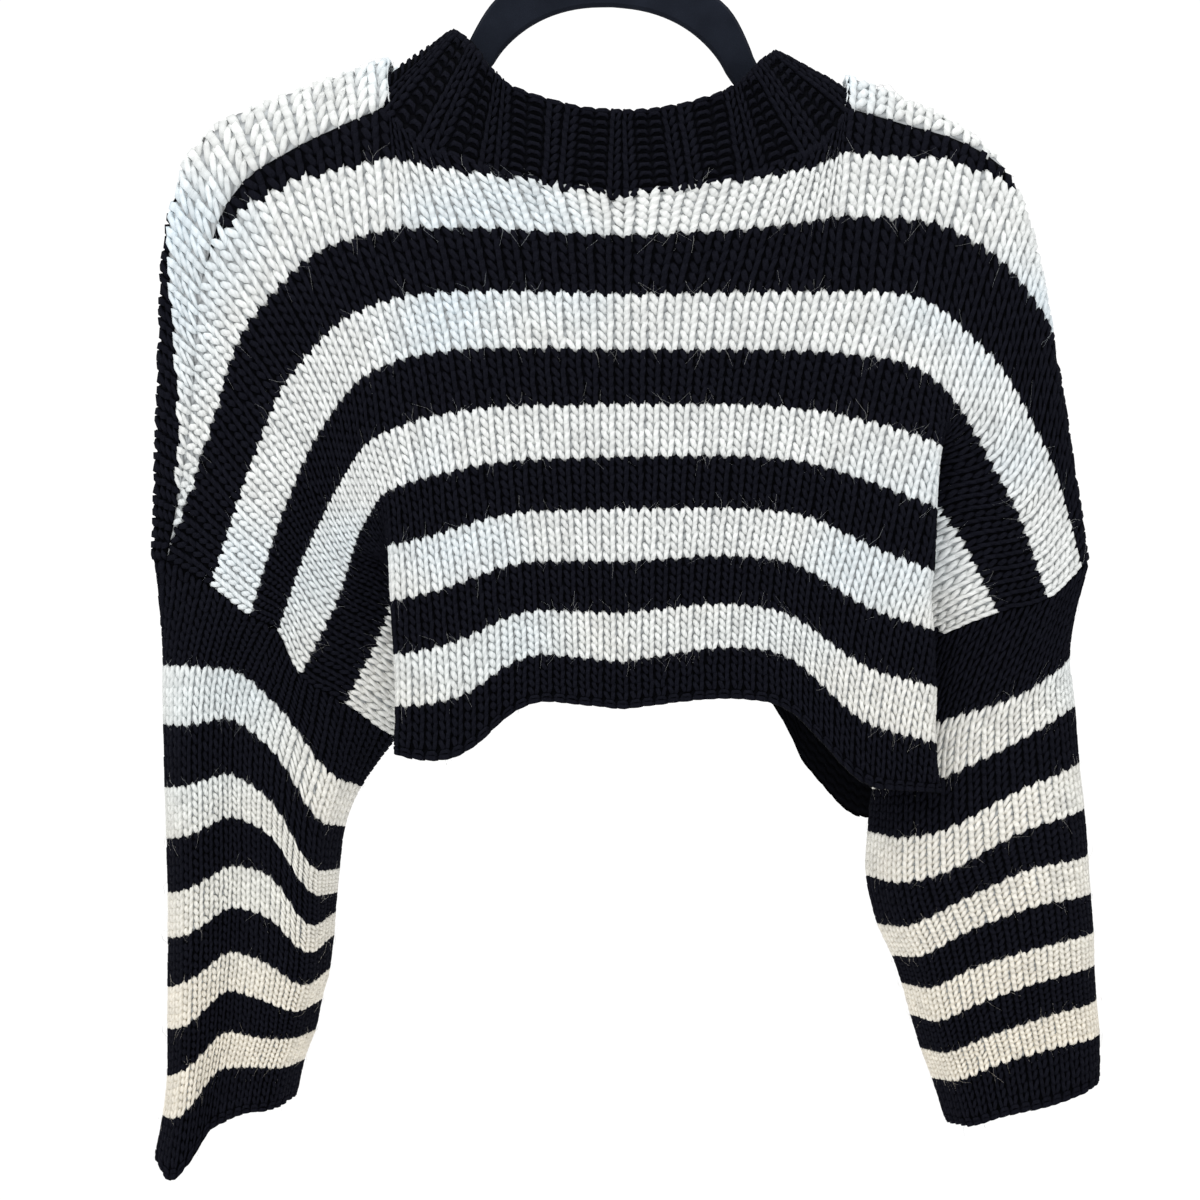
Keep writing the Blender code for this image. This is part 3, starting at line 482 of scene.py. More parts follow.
    def place(self, column: np.ndarray, row: np.ndarray, face: Face) -> np.ndarray:
        """Where each column and row of a panel hangs.

        Args:
            column: Columns, (n,).
            row: Rows, (n,).
            face: Which panel.

        Returns:
            Places in millimetres, (n, 3).
        """
        column = np.asarray(column, float)
        under = self.crest(column, face) - np.asarray(row, float)
        sign = np.where(under < 0, -face.value, face.value)
        under = np.abs(under)
        result = np.zeros((len(column), 3))
        for side in Side:
            chosen = column < 0 if side is Side.LEFT else column >= 0
            across, depth = column[chosen], under[chosen]
            shoulder = self.shoulder_row(side)
            span = self.crest(across, Face.BACK) - shoulder
            front_row = self.crest(across, Face.FRONT) - depth
            station = np.where(
                sign[chosen] == Face.BACK.value,
                shoulder + span - depth,
                self.front_station(across, front_row, span, side),
            )
            place = self.half_surface(across, station, np.clip(1 - depth / span, 0, 1), side)
            result[chosen, 0] = side.value * place[:, 0]
            result[chosen, 1] = sign[chosen] * place[:, 2]
            result[chosen, 2] = -place[:, 1]
        return result

    def way_out(self, column: np.ndarray, row: np.ndarray, face: Face) -> np.ndarray:
        """The cloth's way out at each column and row.

        Args:
            column: Columns, (n,).
            row: Rows, (n,).
            face: Which panel.

        Returns:
            Unit vectors, (n, 3).
        """
        step = self.normal_step
        limit = self.half_columns
        column = np.clip(column, -limit, limit)
        right = self.place(np.clip(column + step, -limit, limit), row, face)
        left = self.place(np.clip(column - step, -limit, limit), row, face)
        up = self.place(column, row + step, face)
        down = self.place(column, row - step, face)
        return unit(np.cross(right - left, up - down)) * -face.value


@dataclass
class Carrier:
    """A surface with knit coordinates: a grid of places and of ways out of the cloth."""

    name: str
    columns: np.ndarray
    rows: np.ndarray
    places: np.ndarray
    outs: np.ndarray

    def make_object(self) -> bpy.types.Object:
        """The grid as an object with a "knit" UV map and a "way_out" attribute.

        Returns:
            The object.
        """
        count_rows, count_columns, _ = self.places.shape
        mesh = bpy.data.meshes.new(self.name)
        index = np.arange(count_rows * count_columns).reshape(count_rows, count_columns)
        corners = [index[:-1, :-1], index[:-1, 1:], index[1:, 1:], index[1:, :-1]]
        faces = np.stack(corners, axis=-1).reshape(-1, 4)
        mesh.from_pydata((self.places.reshape(-1, 3) * MM).tolist(), [], faces.tolist())
        u = (self.columns - self.columns[0]) / (self.columns[-1] - self.columns[0])
        v = (self.rows - self.rows[0]) / (self.rows[-1] - self.rows[0])
        grid = np.stack(np.meshgrid(u, v), axis=-1).reshape(-1, 2)
        layer = mesh.uv_layers.new(name="knit")
        layer.data.foreach_set("uv", grid[faces.ravel()].astype(np.float32).ravel())
        outs = mesh.attributes.new("way_out", "FLOAT_VECTOR", "POINT")
        outs.data.foreach_set("vector", self.outs.astype(np.float32).ravel())
        return linked(self.name, mesh)

    def read(self, column: np.ndarray, row: np.ndarray) -> tuple[np.ndarray, np.ndarray]:
        """Places and ways out between the grid's lines.

        Args:
            column: Columns, any shape.
            row: Rows, the same shape.

        Returns:
            Places in millimetres and unit vectors, one more axis each.
        """
        u = np.interp(column, self.columns, np.arange(len(self.columns)))
        v = np.interp(row, self.rows, np.arange(len(self.rows)))
        i = np.clip(u.astype(int), 0, len(self.columns) - 2)
        j = np.clip(v.astype(int), 0, len(self.rows) - 2)
        a, b = (u - i)[..., None], (v - j)[..., None]
        read = []
        for grid in (self.places, self.outs):
            low = grid[j, i] * (1 - a) + grid[j, i + 1] * a
            high = grid[j + 1, i] * (1 - a) + grid[j + 1, i + 1] * a
            read.append(low * (1 - b) + high * b)
        return read[0], unit(read[1])


def ring_outs(grid: np.ndarray, middle: np.ndarray) -> np.ndarray:
    """The ways out of a grid that goes all round.

    Args:
        grid: Places, (rows, columns, 3).
        middle: The middle that they go out from.

    Returns:
        Unit vectors, the grid's shape.
    """
    across = np.roll(grid, -1, axis=1) - np.roll(grid, 1, axis=1)
    outs = unit(np.cross(across, np.gradient(grid, axis=0)))
    return -outs if ((grid - middle) * outs).sum() < 0 else outs


def ring_carrier(
    name: str, rows: np.ndarray, grid: np.ndarray, outs: np.ndarray, step: float, margin: float,
) -> Carrier:
    """A carrier that goes all round and on past its start and its end.

    Args:
        name: Its name.
        rows: Its rows.
        grid: Its places.
        outs: Its ways out.
        step: Columns between grid lines.
        margin: How many columns it goes on.

    Returns:
        The carrier.
    """
    around, extra = grid.shape[1], int(margin / step)
    numbers = np.arange(-extra, around + extra + 1)
    order = numbers % around
    return Carrier(name, numbers * step, rows, grid[:, order], outs[:, order])


@dataclass
class SleeveForm:
    """The form of a sleeve: rings down from the armhole to the cuff."""

    side: Side
    body: BodyForm
    columns: int = 40
    stripe_rows: int = 6
    first_stripe_rows: int = 10
    high_shares: tuple[float, ...] = (
        0, 0.1, 0.2, 0.3, 0.4, 0.5, 0.6, 0.7, 0.78, 0.84, 0.88, 0.92, 0.96, 1.0,
    )
    ring_corner: float = 1.4
    stripe_corner: float = 0.45
    same_knot: float = 0.01
    seam_rows: float = 0.045
    back_deep: dict[Side, tuple[float, ...]] = field(default_factory=lambda: {
        Side.LEFT: (3, 24, 15, 25, 28, 3), Side.RIGHT: (3, 19, 27, 30, 24, 3)})
    front_deep: dict[Side, tuple[float, ...]] = field(default_factory=lambda: {
        Side.LEFT: (3, 20, 27, 29, 23, 3), Side.RIGHT: (3, 19, 26, 29, 23, 3)})
    fill: dict[Side, tuple[float, ...]] = field(default_factory=lambda: {
        Side.LEFT: (0.75, 0.9, 1, 1, 1, 1, 1, 0.95, 0.9, 0.85, 0.85),
        Side.RIGHT: (0.52, 0.6, 0.85, 1, 1, 1, 1, 0.95, 0.9, 0.85, 0.85)})

    @property
    def rings(self) -> Sequence[Sequence[float]]:
        """The table of this side's rings."""
        return LEFT_RINGS if self.side is Side.LEFT else RIGHT_RINGS

    @property
    def total_rows(self) -> int:
        """Rows from the cuff to the armhole."""
        return self.stripe_rows * (len(self.rings) - 1) + self.first_stripe_rows

    def armhole(self) -> np.ndarray:
        """The armhole's edge, from the shoulder seam down the back and up the front.

        Returns:
            Its places, in order.
        """
        edge = self.side.value * self.body.half_columns
        shares = np.array(self.high_shares)
        sides = []
        for face in Face:
            top = float(self.body.top(np.array([edge]), face)[0]) - self.seam_rows
            rows = self.body.underarm_row + shares * (top - self.body.underarm_row)
            sides.append(self.body.place(np.full(len(rows), edge), rows, face))
        back, front = sides
        underarm = (back[0] + front[0]) / 2
        return np.concatenate([back[:0:-1], [underarm], front[1:-1]])

    def loop_columns(self, loop: np.ndarray) -> np.ndarray:
        """A knit column for each point of the armhole: 0 at the shoulder seam.

        Args:
            loop: The armhole's points.

        Returns:
            Their columns, half the sleeve's at the underarm.
        """
        steps = np.linalg.norm(np.roll(loop, -1, axis=0) - loop, axis=1)
        along = np.concatenate([[0], np.cumsum(steps)])
        underarm = len(self.high_shares) - 1
        down = along[:-1] / along[underarm]
        up = (along[:-1] - along[underarm]) / (along[-1] - along[underarm])
        half = self.columns / 2
        return np.where(np.arange(len(loop)) <= underarm, down * half, (1 + up) * half)

    def ring(self, at: np.ndarray, number: int) -> np.ndarray:
        """A ring's places at each column, its corners rounded.

        Args:
            at: The columns to read.
            number: Which ring, from the armhole down.

        Returns:
            Places in millimetres, (n, 3).
        """
        cut = dict(zip(RING_FIELDS, self.rings[number]))
        fill = self.fill[self.side][number]
        backs, fronts = [], []
        fractions, half_round = RING_LAYOUT[self.side]
        deeps = zip(RING_FIELDS[2:], fractions, self.back_deep[self.side], self.front_deep[self.side])
        for name, fraction, near, far in deeps:
            out = cut["outer_out"] + (cut["inner_out"] - cut["outer_out"]) * fraction
            backs.append((self.side.value * out, -near * fill, -cut[name]))
            fronts.append((self.side.value * out, far * fill, -cut[name]))
        places = np.array(backs + fronts[::-1], float)
        columns = np.array(list(half_round) + [self.columns - c for c in reversed(half_round)], float)
        places = np.concatenate([places[-3:-1], places, places[1:3]])
        columns = np.concatenate([columns[-3:-1] - self.columns, columns, columns[1:3] + self.columns])
        knots, merged = [], []
        for knot, value in zip(columns, places):
            if knots and knot - knots[-1] < self.same_knot:
                merged[-1] = (merged[-1] + value) / 2
            else:
                knots.append(knot)
                merged.append(value)
        return bent_line(at, knots, np.array(merged), self.ring_corner)

    def carrier(self, step: float = 0.5, margin: float = 2.0) -> Carrier:
        """The sleeve's surface, past its seam and its edges by a margin.

        Args:
            step: Columns and rows between grid lines.
            margin: How far the grid goes on, in columns and rows.

        Returns:
            The carrier, its rows counted from the cuff up.
        """
        loop = self.armhole()
        knots = self.loop_columns(loop)
        around = np.arange(0, self.columns, step)
        level = np.stack(
            [np.interp(around, knots, loop[:, k], period=self.columns) for k in range(3)], axis=1)
        levels = np.array([level] + [self.ring(around, number) for number in range(len(self.rings))])
        rows = np.arange(-margin, self.total_rows + margin + step / 2, step)
        stripes = len(self.rings)
        below = (stripes * self.stripe_rows - rows) / self.stripe_rows
        above = (self.total_rows - rows) / self.first_stripe_rows
        stations = np.where(rows > self.stripe_rows * (stripes - 1), above, below)
        grid = np.array([
            bent_line(np.full(len(around), s), np.arange(len(levels)), levels, self.stripe_corner)
            for s in stations
        ])
        outs = ring_outs(grid, grid.mean(axis=1, keepdims=True))
        return ring_carrier(f"form_sleeve_{self.side.name.lower()}", rows, grid, outs, step, margin)


@dataclass
class CollarForm:
    """The form of the ribbed collar, up from the neck's seam to its free edge."""

    body: BodyForm
    ribs: int = 19
    rib_columns: int = 4
    rows: int = 9
    rib_rise: float = 1.8
    rise_rows: float = 1.5
    right_scale: float = 0.93
    right_drop: float = 11.0
    right_out: float = 124.0
    deep_share: float = 0.5
    smoothings: int = 4
    ease: float = 2.4
    ease_deep: float = 24.0
    start: float = 0.03
    seam_rows: float = 0.045
    left_columns: tuple[float, ...] = (2, 4, 6, 8, 9.5, 10.3, 11.2, 12)
    right_columns: tuple[float, ...] = (2, 4, 6, 8, 9.6, 10.8, 11.5, 12)

    @property
    def columns(self) -> int:
        """Columns around the collar."""
        return self.ribs * self.rib_columns

    def neck_loop(self) -> np.ndarray:
        """The neck's edge, from the middle of the back by -X round the front.

        Returns:
            Its places, in order.
        """
        left = -np.array(self.left_columns)
        right = np.array(self.right_columns)
        runs = (
            (np.concatenate([[0], left[:-1]]), Face.BACK),
            (np.concatenate([left[::-1], [0], right]), Face.FRONT),
            (right[-2::-1], Face.BACK),
        )
        edges = [self.body.place(run, self.body.top(run, face) - self.seam_rows, face) for run, face in runs]
        return np.concatenate(edges)

    def base(self, count: int) -> np.ndarray:
        """The seam's line at even steps.

        Args:
            count: How many points.

        Returns:
            The points, (count, 3).
        """
        loop = self.neck_loop()
        closed = np.concatenate([loop, loop[:1]])
        along = np.concatenate([[0], np.cumsum(np.linalg.norm(np.diff(closed, axis=0), axis=1))])
        at = np.linspace(0, along[-1], count, endpoint=False)
        return np.stack([np.interp(at, along, closed[:, k]) for k in range(3)], axis=1)

    def free_edge(self, base: np.ndarray) -> np.ndarray:
        """Where the collar's free edge stands above each point of its seam.

        Args:
            base: The seam's points.

        Returns:
            The edge's points.
        """
        edge = np.zeros_like(base)
        for i, (x, y, _) in enumerate(base):
            table = np.array(COLLAR_TOP_BACK if y < 0 else COLLAR_TOP_FRONT, float)
            scale = 1.0 if x < 0 else self.right_scale
            extra = 0.0 if x < 0 else self.right_drop * (abs(x) / self.right_out) ** 2
            measure = abs(x) - abs(y) * self.deep_share
            out, drop, deep = (np.interp(measure, table[:, 0], table[:, k]) for k in (1, 2, 3))
            edge[i] = (np.sign(x) * out * scale, np.sign(y) * deep, -(drop + extra))
        for _ in range(self.smoothings):
            edge = (np.roll(edge, 1, axis=0) + edge * 2 + np.roll(edge, -1, axis=0)) / 4
        return edge

    def carrier(self, step: float = 0.5, margin: float = 2.0) -> Carrier:
        """The collar's surface, its ribs raised.

        Args:
            step: Columns and rows between grid lines.
            margin: How far the grid goes on, in columns and rows.

        Returns:
            The carrier, its rows counted from the seam up.
        """
        around = np.arange(0, self.columns, step)
        base = self.base(len(around))
        edge = self.free_edge(base)
        shoulder = np.clip(1 - np.abs(base[:, 1]) / self.ease_deep, 0, 1)
        base[:, 0] -= np.sign(base[:, 0]) * shoulder * self.ease
        rows = np.arange(-margin, self.rows + margin + step / 2, step)
        shares = self.start + (1 - self.start) * rows / self.rows
        grid = np.array([base + (edge - base) * share for share in shares])
        outs = ring_outs(grid, grid.mean(axis=(0, 1)))
        ridge = self.rib_rise * (0.5 + 0.5 * np.cos(math.tau * around / self.rib_columns))
        seam = np.clip(rows / self.rise_rows, 0, 1)[:, None]
        grid = grid + outs * (ridge * seam)[..., None]
        return ring_carrier("form_collar", rows, grid, outs, step, margin)


# ------------------------------------------------------------------ finishes


def new_material(name: str) -> tuple[bpy.types.Material, bpy.types.NodeTree, bpy.types.Node]:
    """An empty material with its Principled shader.

    Args:
        name: The material's name.

    Returns:
        The material, its node tree and the shader.
    """
    material = bpy.data.materials.new(name)
    material.use_nodes = True
    tree = material.node_tree
    return material, tree, tree.nodes["Principled BSDF"]


def math_node(tree: bpy.types.NodeTree, operation: str, *values: object) -> bpy.types.NodeSocket:
    """A Math node fed by sockets or numbers.

    Args:
        tree: The tree it goes in.
        operation: The node's operation.
        values: Sockets or numbers for its inputs.

    Returns:
        Its output socket.
    """
    node = tree.nodes.new("ShaderNodeMath")
    node.operation = operation
    for socket, value in zip(node.inputs, values):
        if isinstance(value, bpy.types.NodeSocket):
            tree.links.new(value, socket)
        else:
            socket.default_value = value
    return node.outputs[0]


def attribute(tree: bpy.types.NodeTree, name: str) -> bpy.types.Node:
    """An Attribute node that reads a named attribute of the mesh.

    Args:
        tree: The material's nodes.
        name: The attribute.

    Returns:
        The node.
    """
    node = tree.nodes.new("ShaderNodeAttribute")
    node.attribute_name = name
    return node


def mix_colour(
    tree: bpy.types.NodeTree, factor: object, first: object, second: object,
) -> bpy.types.NodeSocket:
    """A colour mixed from two.

    Args:
        tree: The tree it goes in.
        factor: Share of the second, a socket or a number.
        first: A colour or a socket.
        second: A colour or a socket.

    Returns:
        The mixed colour's socket.
    """
    node = tree.nodes.new("ShaderNodeMix")
    node.data_type = "RGBA"
    sockets = {"Factor_Float": factor, "A_Color": first, "B_Color": second}
    for socket in node.inputs:
        if socket.identifier not in sockets:
            continue
        value = sockets[socket.identifier]
        if isinstance(value, bpy.types.NodeSocket):
            tree.links.new(value, socket)
        elif socket.identifier == "Factor_Float":
            socket.default_value = value
        else:
            socket.default_value = (*value, 1.0)
    return next(socket for socket in node.outputs if socket.identifier == "Result_Color")


def clamped(
    tree: bpy.types.NodeTree, value: bpy.types.NodeSocket, high: float = 1.0,
) -> bpy.types.NodeSocket:
    """A value held between zero and a limit."""
    return math_node(tree, "MAXIMUM", math_node(tree, "MINIMUM", value, high), 0.0)


def linear(
    tree: bpy.types.NodeTree, value: bpy.types.NodeSocket, factor: float, offset: float,
) -> bpy.types.NodeSocket:
    """A value times a factor, plus an offset."""
    return math_node(tree, "ADD", math_node(tree, "MULTIPLY", value, factor), offset)


def split_xyz(tree: bpy.types.NodeTree, vector: bpy.types.NodeSocket) -> bpy.types.bpy_prop_collection:
    """A vector's X, Y and Z.

    Args:
        tree: The nodes to add to.
        vector: Where the vector comes from.

    Returns:
        The three outputs.
    """
    node = tree.nodes.new("ShaderNodeSeparateXYZ")
    tree.links.new(vector, node.inputs[0])
    return node.outputs


def uv_layer(tree: bpy.types.NodeTree, name: str) -> bpy.types.bpy_prop_collection:
    """The coordinates of a named UV map, apart.

    Args:
        tree: The nodes to add to.
        name: The UV map.

    Returns:
        The three outputs.
    """
    node = tree.nodes.new("ShaderNodeUVMap")
    node.uv_map = name
    return split_xyz(tree, node.outputs["UV"])


def object_place(tree: bpy.types.NodeTree) -> bpy.types.NodeSocket:
    """Object coordinates."""
    return tree.nodes.new("ShaderNodeTexCoord").outputs["Object"]


def noise_in(tree: bpy.types.NodeTree, scale: float, detail: float = 2.0) -> bpy.types.NodeSocket:
    """Noise in object coordinates.

    Args:
        tree: The tree it goes in.
        scale: Its scale.
        detail: Its detail.

    Returns:
        The noise's value.
    """
    node = tree.nodes.new("ShaderNodeTexNoise")
    node.inputs["Scale"].default_value = scale
    node.inputs["Detail"].default_value = detail
    tree.links.new(object_place(tree), node.inputs["Vector"])
    return node.outputs["Fac"]


def dim(
    tree: bpy.types.NodeTree, colour: bpy.types.NodeSocket, value: bpy.types.NodeSocket,
    shader: bpy.types.Node,
) -> None:
    """Scale a colour by a value and give it to the shader.

    Args:
        tree: The tree it goes in.
        colour: The colour.
        value: Its scale.
        shader: The Principled shader.
    """
    scaled = tree.nodes.new("ShaderNodeVectorMath")
    scaled.operation = "SCALE"
    tree.links.new(colour, scaled.inputs[0])
    tree.links.new(value, scaled.inputs["Scale"])
    tree.links.new(scaled.outputs[0], shader.inputs["Base Color"])


def emboss(
    tree: bpy.types.NodeTree, height: bpy.types.NodeSocket, shader: bpy.types.Node,
    strength: float, distance: float,
) -> None:
    """Turn a height into the shader's normal.

    Args:
        tree: The tree it goes in.
        height: The height.
        shader: The Principled shader.
        strength: The bump's strength.
        distance: The bump's depth in metres.
    """
    bump = tree.nodes.new("ShaderNodeBump")
    bump.inputs["Strength"].default_value = strength
    bump.inputs["Distance"].default_value = distance
    tree.links.new(height, bump.inputs["Height"])
    tree.links.new(bump.outputs["Normal"], shader.inputs["Normal"])


@dataclass(frozen=True)
class PlyTwist:
    """A shared node group: the relief of a strand's twisted plies and of its fibres."""

    name: str = "ply_twist"
    plies: float = 2.0
    fibre_scale: float = 1400.0
    fibre_detail: float = 3.0
    fibre_height: float = 0.45

    def group(self) -> bpy.types.NodeTree:
        """The group, built the first time that it is asked for.

        Returns:
            A tree with the inputs Along, Around and Lay and the outputs Height and Fibre.
        """
        made = bpy.data.node_groups.get(self.name)
        if made:
            return made
        tree = bpy.data.node_groups.new(self.name, "ShaderNodeTree")
        for label in ("Along", "Around", "Lay"):
            tree.interface.new_socket(label, in_out="INPUT", socket_type="NodeSocketFloat")
        for label in ("Height", "Fibre"):
            tree.interface.new_socket(label, in_out="OUTPUT", socket_type="NodeSocketFloat")
        source = tree.nodes.new("NodeGroupInput")
        target = tree.nodes.new("NodeGroupOutput")
        turns = math_node(tree, "MULTIPLY", source.outputs["Around"], self.plies)
        slant = math_node(tree, "DIVIDE", source.outputs["Along"], source.outputs["Lay"])
        phase = math_node(tree, "MULTIPLY", math_node(tree, "ADD", turns, slant), math.tau)
        wave = math_node(tree, "ABSOLUTE", math_node(tree, "SINE", math_node(tree, "MULTIPLY", phase, 0.5)))
        noise = noise_in(tree, self.fibre_scale, self.fibre_detail)
        fibre = math_node(tree, "MULTIPLY", noise, self.fibre_height)
        tree.links.new(math_node(tree, "ADD", wave, fibre), target.inputs["Height"])
        tree.links.new(noise, target.inputs["Fibre"])
        return tree


@dataclass(frozen=True)
class YarnFinish:
    """Chunky two-tone wool: the stitch's "tone" attribute picks black or white."""

    name: str
    black: tuple[float, float, float] = (0.0010, 0.0010, 0.0019)
    # Painted highlight: the black yarn shifts towards this colour on the raised tops of its lobes.
    black_lit: tuple[float, float, float] = (0.0085, 0.0090, 0.0145)
    white: tuple[float, float, float] = (0.74, 0.755, 0.745)
    cool: tuple[float, float, float] = (0.66, 0.735, 0.78)
    cream: tuple[float, float, float] = (0.80, 0.735, 0.615)
    roughness: float = 0.95
    gloss: float = 0.03
    lay: float = 2.6
    relief: float = 0.00022
    relief_strength: float = 0.7
    # Painted shade: the colour is darkened where the yarn lies low, in the creases between lobes and
    # stitches; the next two fields set where that darkening starts and ends.
    crease_shade: float = 0.40
    crease_shade_low: float = 0.12
    crease_shade_high: float = 0.36
    cream_below: float = -0.39
    cream_rate: float = 3.0
    cream_most: float = 0.8
    patch_scale: float = 7.0
    patch_from: float = 0.47
    patch_rate: float = 4.5
    lit_share: float = 1.3
    unevenness: float = 0.05
    uneven_middle: float = 0.98
    ply_shade: float = 0.10

    def pale(self, tree: bpy.types.NodeTree) -> bpy.types.NodeSocket:
        """White, cooler in soft patches and creamier towards the cuffs.

        Args:
            tree: The material's nodes.

        Returns:
            The colour.
        """
        height = split_xyz(tree, object_place(tree))["Z"]
        low = math_node(tree, "SUBTRACT", height, self.cream_below)
        low = math_node(tree, "MULTIPLY", low, -self.cream_rate)
        patches = math_node(tree, "SUBTRACT", noise_in(tree, self.patch_scale), self.patch_from)
        chill = clamped(tree, math_node(tree, "MULTIPLY", patches, self.patch_rate))
        clean = mix_colour(tree, chill, self.white, self.cool)
        return mix_colour(tree, clamped(tree, low, self.cream_most), clean, self.cream)

    def dark(
        self, tree: bpy.types.NodeTree, lift: bpy.types.NodeSocket, fibre: bpy.types.NodeSocket,
    ) -> bpy.types.NodeSocket:
        """Black with a painted highlight on the yarn's raised tops, broken up by the fibres' noise.

        Args:
            tree: The tree it goes in.
            lift: How high the yarn lies here.
            fibre: The fibres' noise.

        Returns:
            The colour.
        """
        # Painted highlight on the raised tops of the black yarn.
        lit = clamped(tree, lift)
        lit = math_node(tree, "MULTIPLY", math_node(tree, "MULTIPLY", lit, lit), fibre)
        return mix_colour(tree, math_node(tree, "MULTIPLY", lit, self.lit_share), self.black, self.black_lit)

    def material(self) -> bpy.types.Material:
        """The finished material, with plies, fibres, painted shade in the creases and between the plies, a
        painted highlight on the black yarn's raised tops and a little unevenness.

        Returns:
            The material.
        """
        material, tree, shader = new_material(self.name)
        tone, shade, lift = (attribute(tree, name).outputs["Fac"] for name in ("tone", "shade", "lift"))
        yarn = uv_layer(tree, "yarn")
        plies = tree.nodes.new("ShaderNodeGroup")
        plies.node_tree = PlyTwist().group()
        tree.links.new(yarn["X"], plies.inputs["Along"])
        tree.links.new(yarn["Y"], plies.inputs["Around"])
        plies.inputs["Lay"].default_value = self.lay
        dark = self.dark(tree, lift, plies.outputs["Fibre"])
        colour = mix_colour(tree, tone, dark, self.pale(tree))
        # Painted shade in the creases: the colour darkens where the yarn lies low.
        height = math_node(tree, "SUBTRACT", lift, self.crease_shade_low)
        height = clamped(tree, math_node(tree, "DIVIDE", height, self.crease_shade_high - self.crease_shade_low))
        crease_shading = linear(tree, height, 1 - self.crease_shade, self.crease_shade)
        uneven = linear(tree, shade, self.unevenness, self.uneven_middle)
        ply_share = linear(tree, plies.outputs["Height"], self.ply_shade, 1 - self.ply_shade)
        value = math_node(tree, "MULTIPLY", math_node(tree, "MULTIPLY", crease_shading, uneven), ply_share)
        dim(tree, colour, value, shader)
        emboss(tree, plies.outputs["Height"], shader, self.relief_strength, self.relief)
        shader.inputs["Roughness"].default_value = self.roughness
        shader.inputs["Specular IOR Level"].default_value = self.gloss
        return material


@dataclass(frozen=True)
class LiningFinish:
    """The inner side of the knitted cloth: rows of purl bumps in the stripe's tone, with painted shade
    between the rows, and its white darkened as painted shade where it shows between the stitches.
    """

    name: str
    black: tuple[float, float, float] = (0.002, 0.0022, 0.0038)
    # Painted shade: far darker than the yarn's white, so that the cloth looks dark through the gaps between
    # the stitches.
    white: tuple[float, float, float] = (0.46, 0.48, 0.49)
    bow: float = 0.16
    shade: float = 0.45
    relief: float = 0.0012
    relief_strength: float = 0.9
    roughness: float = 0.95
    gloss: float = 0.05

    def material(self) -> bpy.types.Material:
        """The finished material.

        Returns:
            The material.
        """
        material, tree, shader = new_material(self.name)
        tone = attribute(tree, "tone").outputs["Fac"]
        knit = uv_layer(tree, "knit")
        across = math_node(tree, "SINE", math_node(tree, "MULTIPLY", knit["X"], math.tau))
        bent = math_node(tree, "ADD", knit["Y"], math_node(tree, "MULTIPLY", across, self.bow))
        rows = math_node(tree, "SINE", math_node(tree, "MULTIPLY", bent, math.pi))
        rows = math_node(tree, "ABSOLUTE", rows)
        colour = mix_colour(tree, tone, self.black, self.white)
        dim(tree, colour, linear(tree, rows, self.shade, 1 - self.shade), shader)
        emboss(tree, rows, shader, self.relief_strength, self.relief)
        shader.inputs["Roughness"].default_value = self.roughness
        shader.inputs["Specular IOR Level"].default_value = self.gloss
        return material


@dataclass(frozen=True)
class FlockFinish:
    """Short black flock over plastic."""

    name: str = "black_flock"
    dark: tuple[float, float, float] = (0.0055, 0.0068, 0.0110)
    pale: tuple[float, float, float] = (0.016, 0.020, 0.031)
    nap_scale: float = 2600.0
    patch_scale: float = 60.0
    nap_share: float = 1.6
    relief: float = 0.0003
    relief_strength: float = 0.5
    roughness: float = 0.95
    sheen: float = 0.03
    gloss: float = 0.05

    def material(self) -> bpy.types.Material:
        """The finished material.

        Returns:
            The material.
        """
        material, tree, shader = new_material(self.name)
        fibres = noise_in(tree, self.nap_scale)
        nap = math_node(tree, "MULTIPLY", fibres, noise_in(tree, self.patch_scale))
        share = math_node(tree, "MULTIPLY", nap, self.nap_share)
        tree.links.new(mix_colour(tree, share, self.dark, self.pale), shader.inputs["Base Color"])
        emboss(tree, fibres, shader, self.relief_strength, self.relief)
        shader.inputs["Roughness"].default_value = self.roughness
        shader.inputs["Sheen Weight"].default_value = self.sheen
        shader.inputs["Specular IOR Level"].default_value = self.gloss
        return material


@dataclass(frozen=True)
class SteelFinish:
    """Bright plated wire with fine drawing lines."""

    name: str = "bright_wire"
    colour: tuple[float, float, float] = (0.72, 0.72, 0.74)
    line_scale: float = 420.0
    rough_spread: float = 0.18
    rough_least: float = 0.14

    def material(self) -> bpy.types.Material:
        """The finished material.

        Returns:
            The material.
        """
        material, tree, shader = new_material(self.name)
        rough = linear(tree, noise_in(tree, self.line_scale), self.rough_spread, self.rough_least)
        tree.links.new(rough, shader.inputs["Roughness"])
        shader.inputs["Base Color"].default_value = (*self.colour, 1.0)
        shader.inputs["Metallic"].default_value = 1.0
        return material


# ------------------------------------------------------------- stitch geometry


# The lobes of each stitch: column, row, lift and radius at each station.
STITCH_LOBES = {
    Stitch.KNIT: (
        ((0.05, -0.28, -0.8, 1.15), (-0.11, 0.14, 0.55, 1.98),
         (-0.27, 0.66, 0.62, 1.92), (-0.43, 1.10, -0.9, 1.0)),
        ((0.14, -0.38, -0.8, 1.2), (0.25, 0.10, 0.58, 1.90),
         (0.30, 0.70, 0.60, 1.90), (0.38, 1.30, -0.8, 1.1)),
    ),
    Stitch.PURL: (
        ((-0.52, 0.10, -0.8, 1.0), (-0.20, 0.62, 0.9, 1.55),
         (0.20, 0.62, 0.9, 1.55), (0.52, 0.10, -0.8, 1.0)),
    ),
    Stitch.EDGE: (
        ((-0.58, -0.05, -0.5, 1.1), (-0.22, 0.05, 0.0, 2.1),
         (0.22, 0.0, 0.0, 2.1), (0.58, -0.12, -0.5, 1.1)),
    ),
}


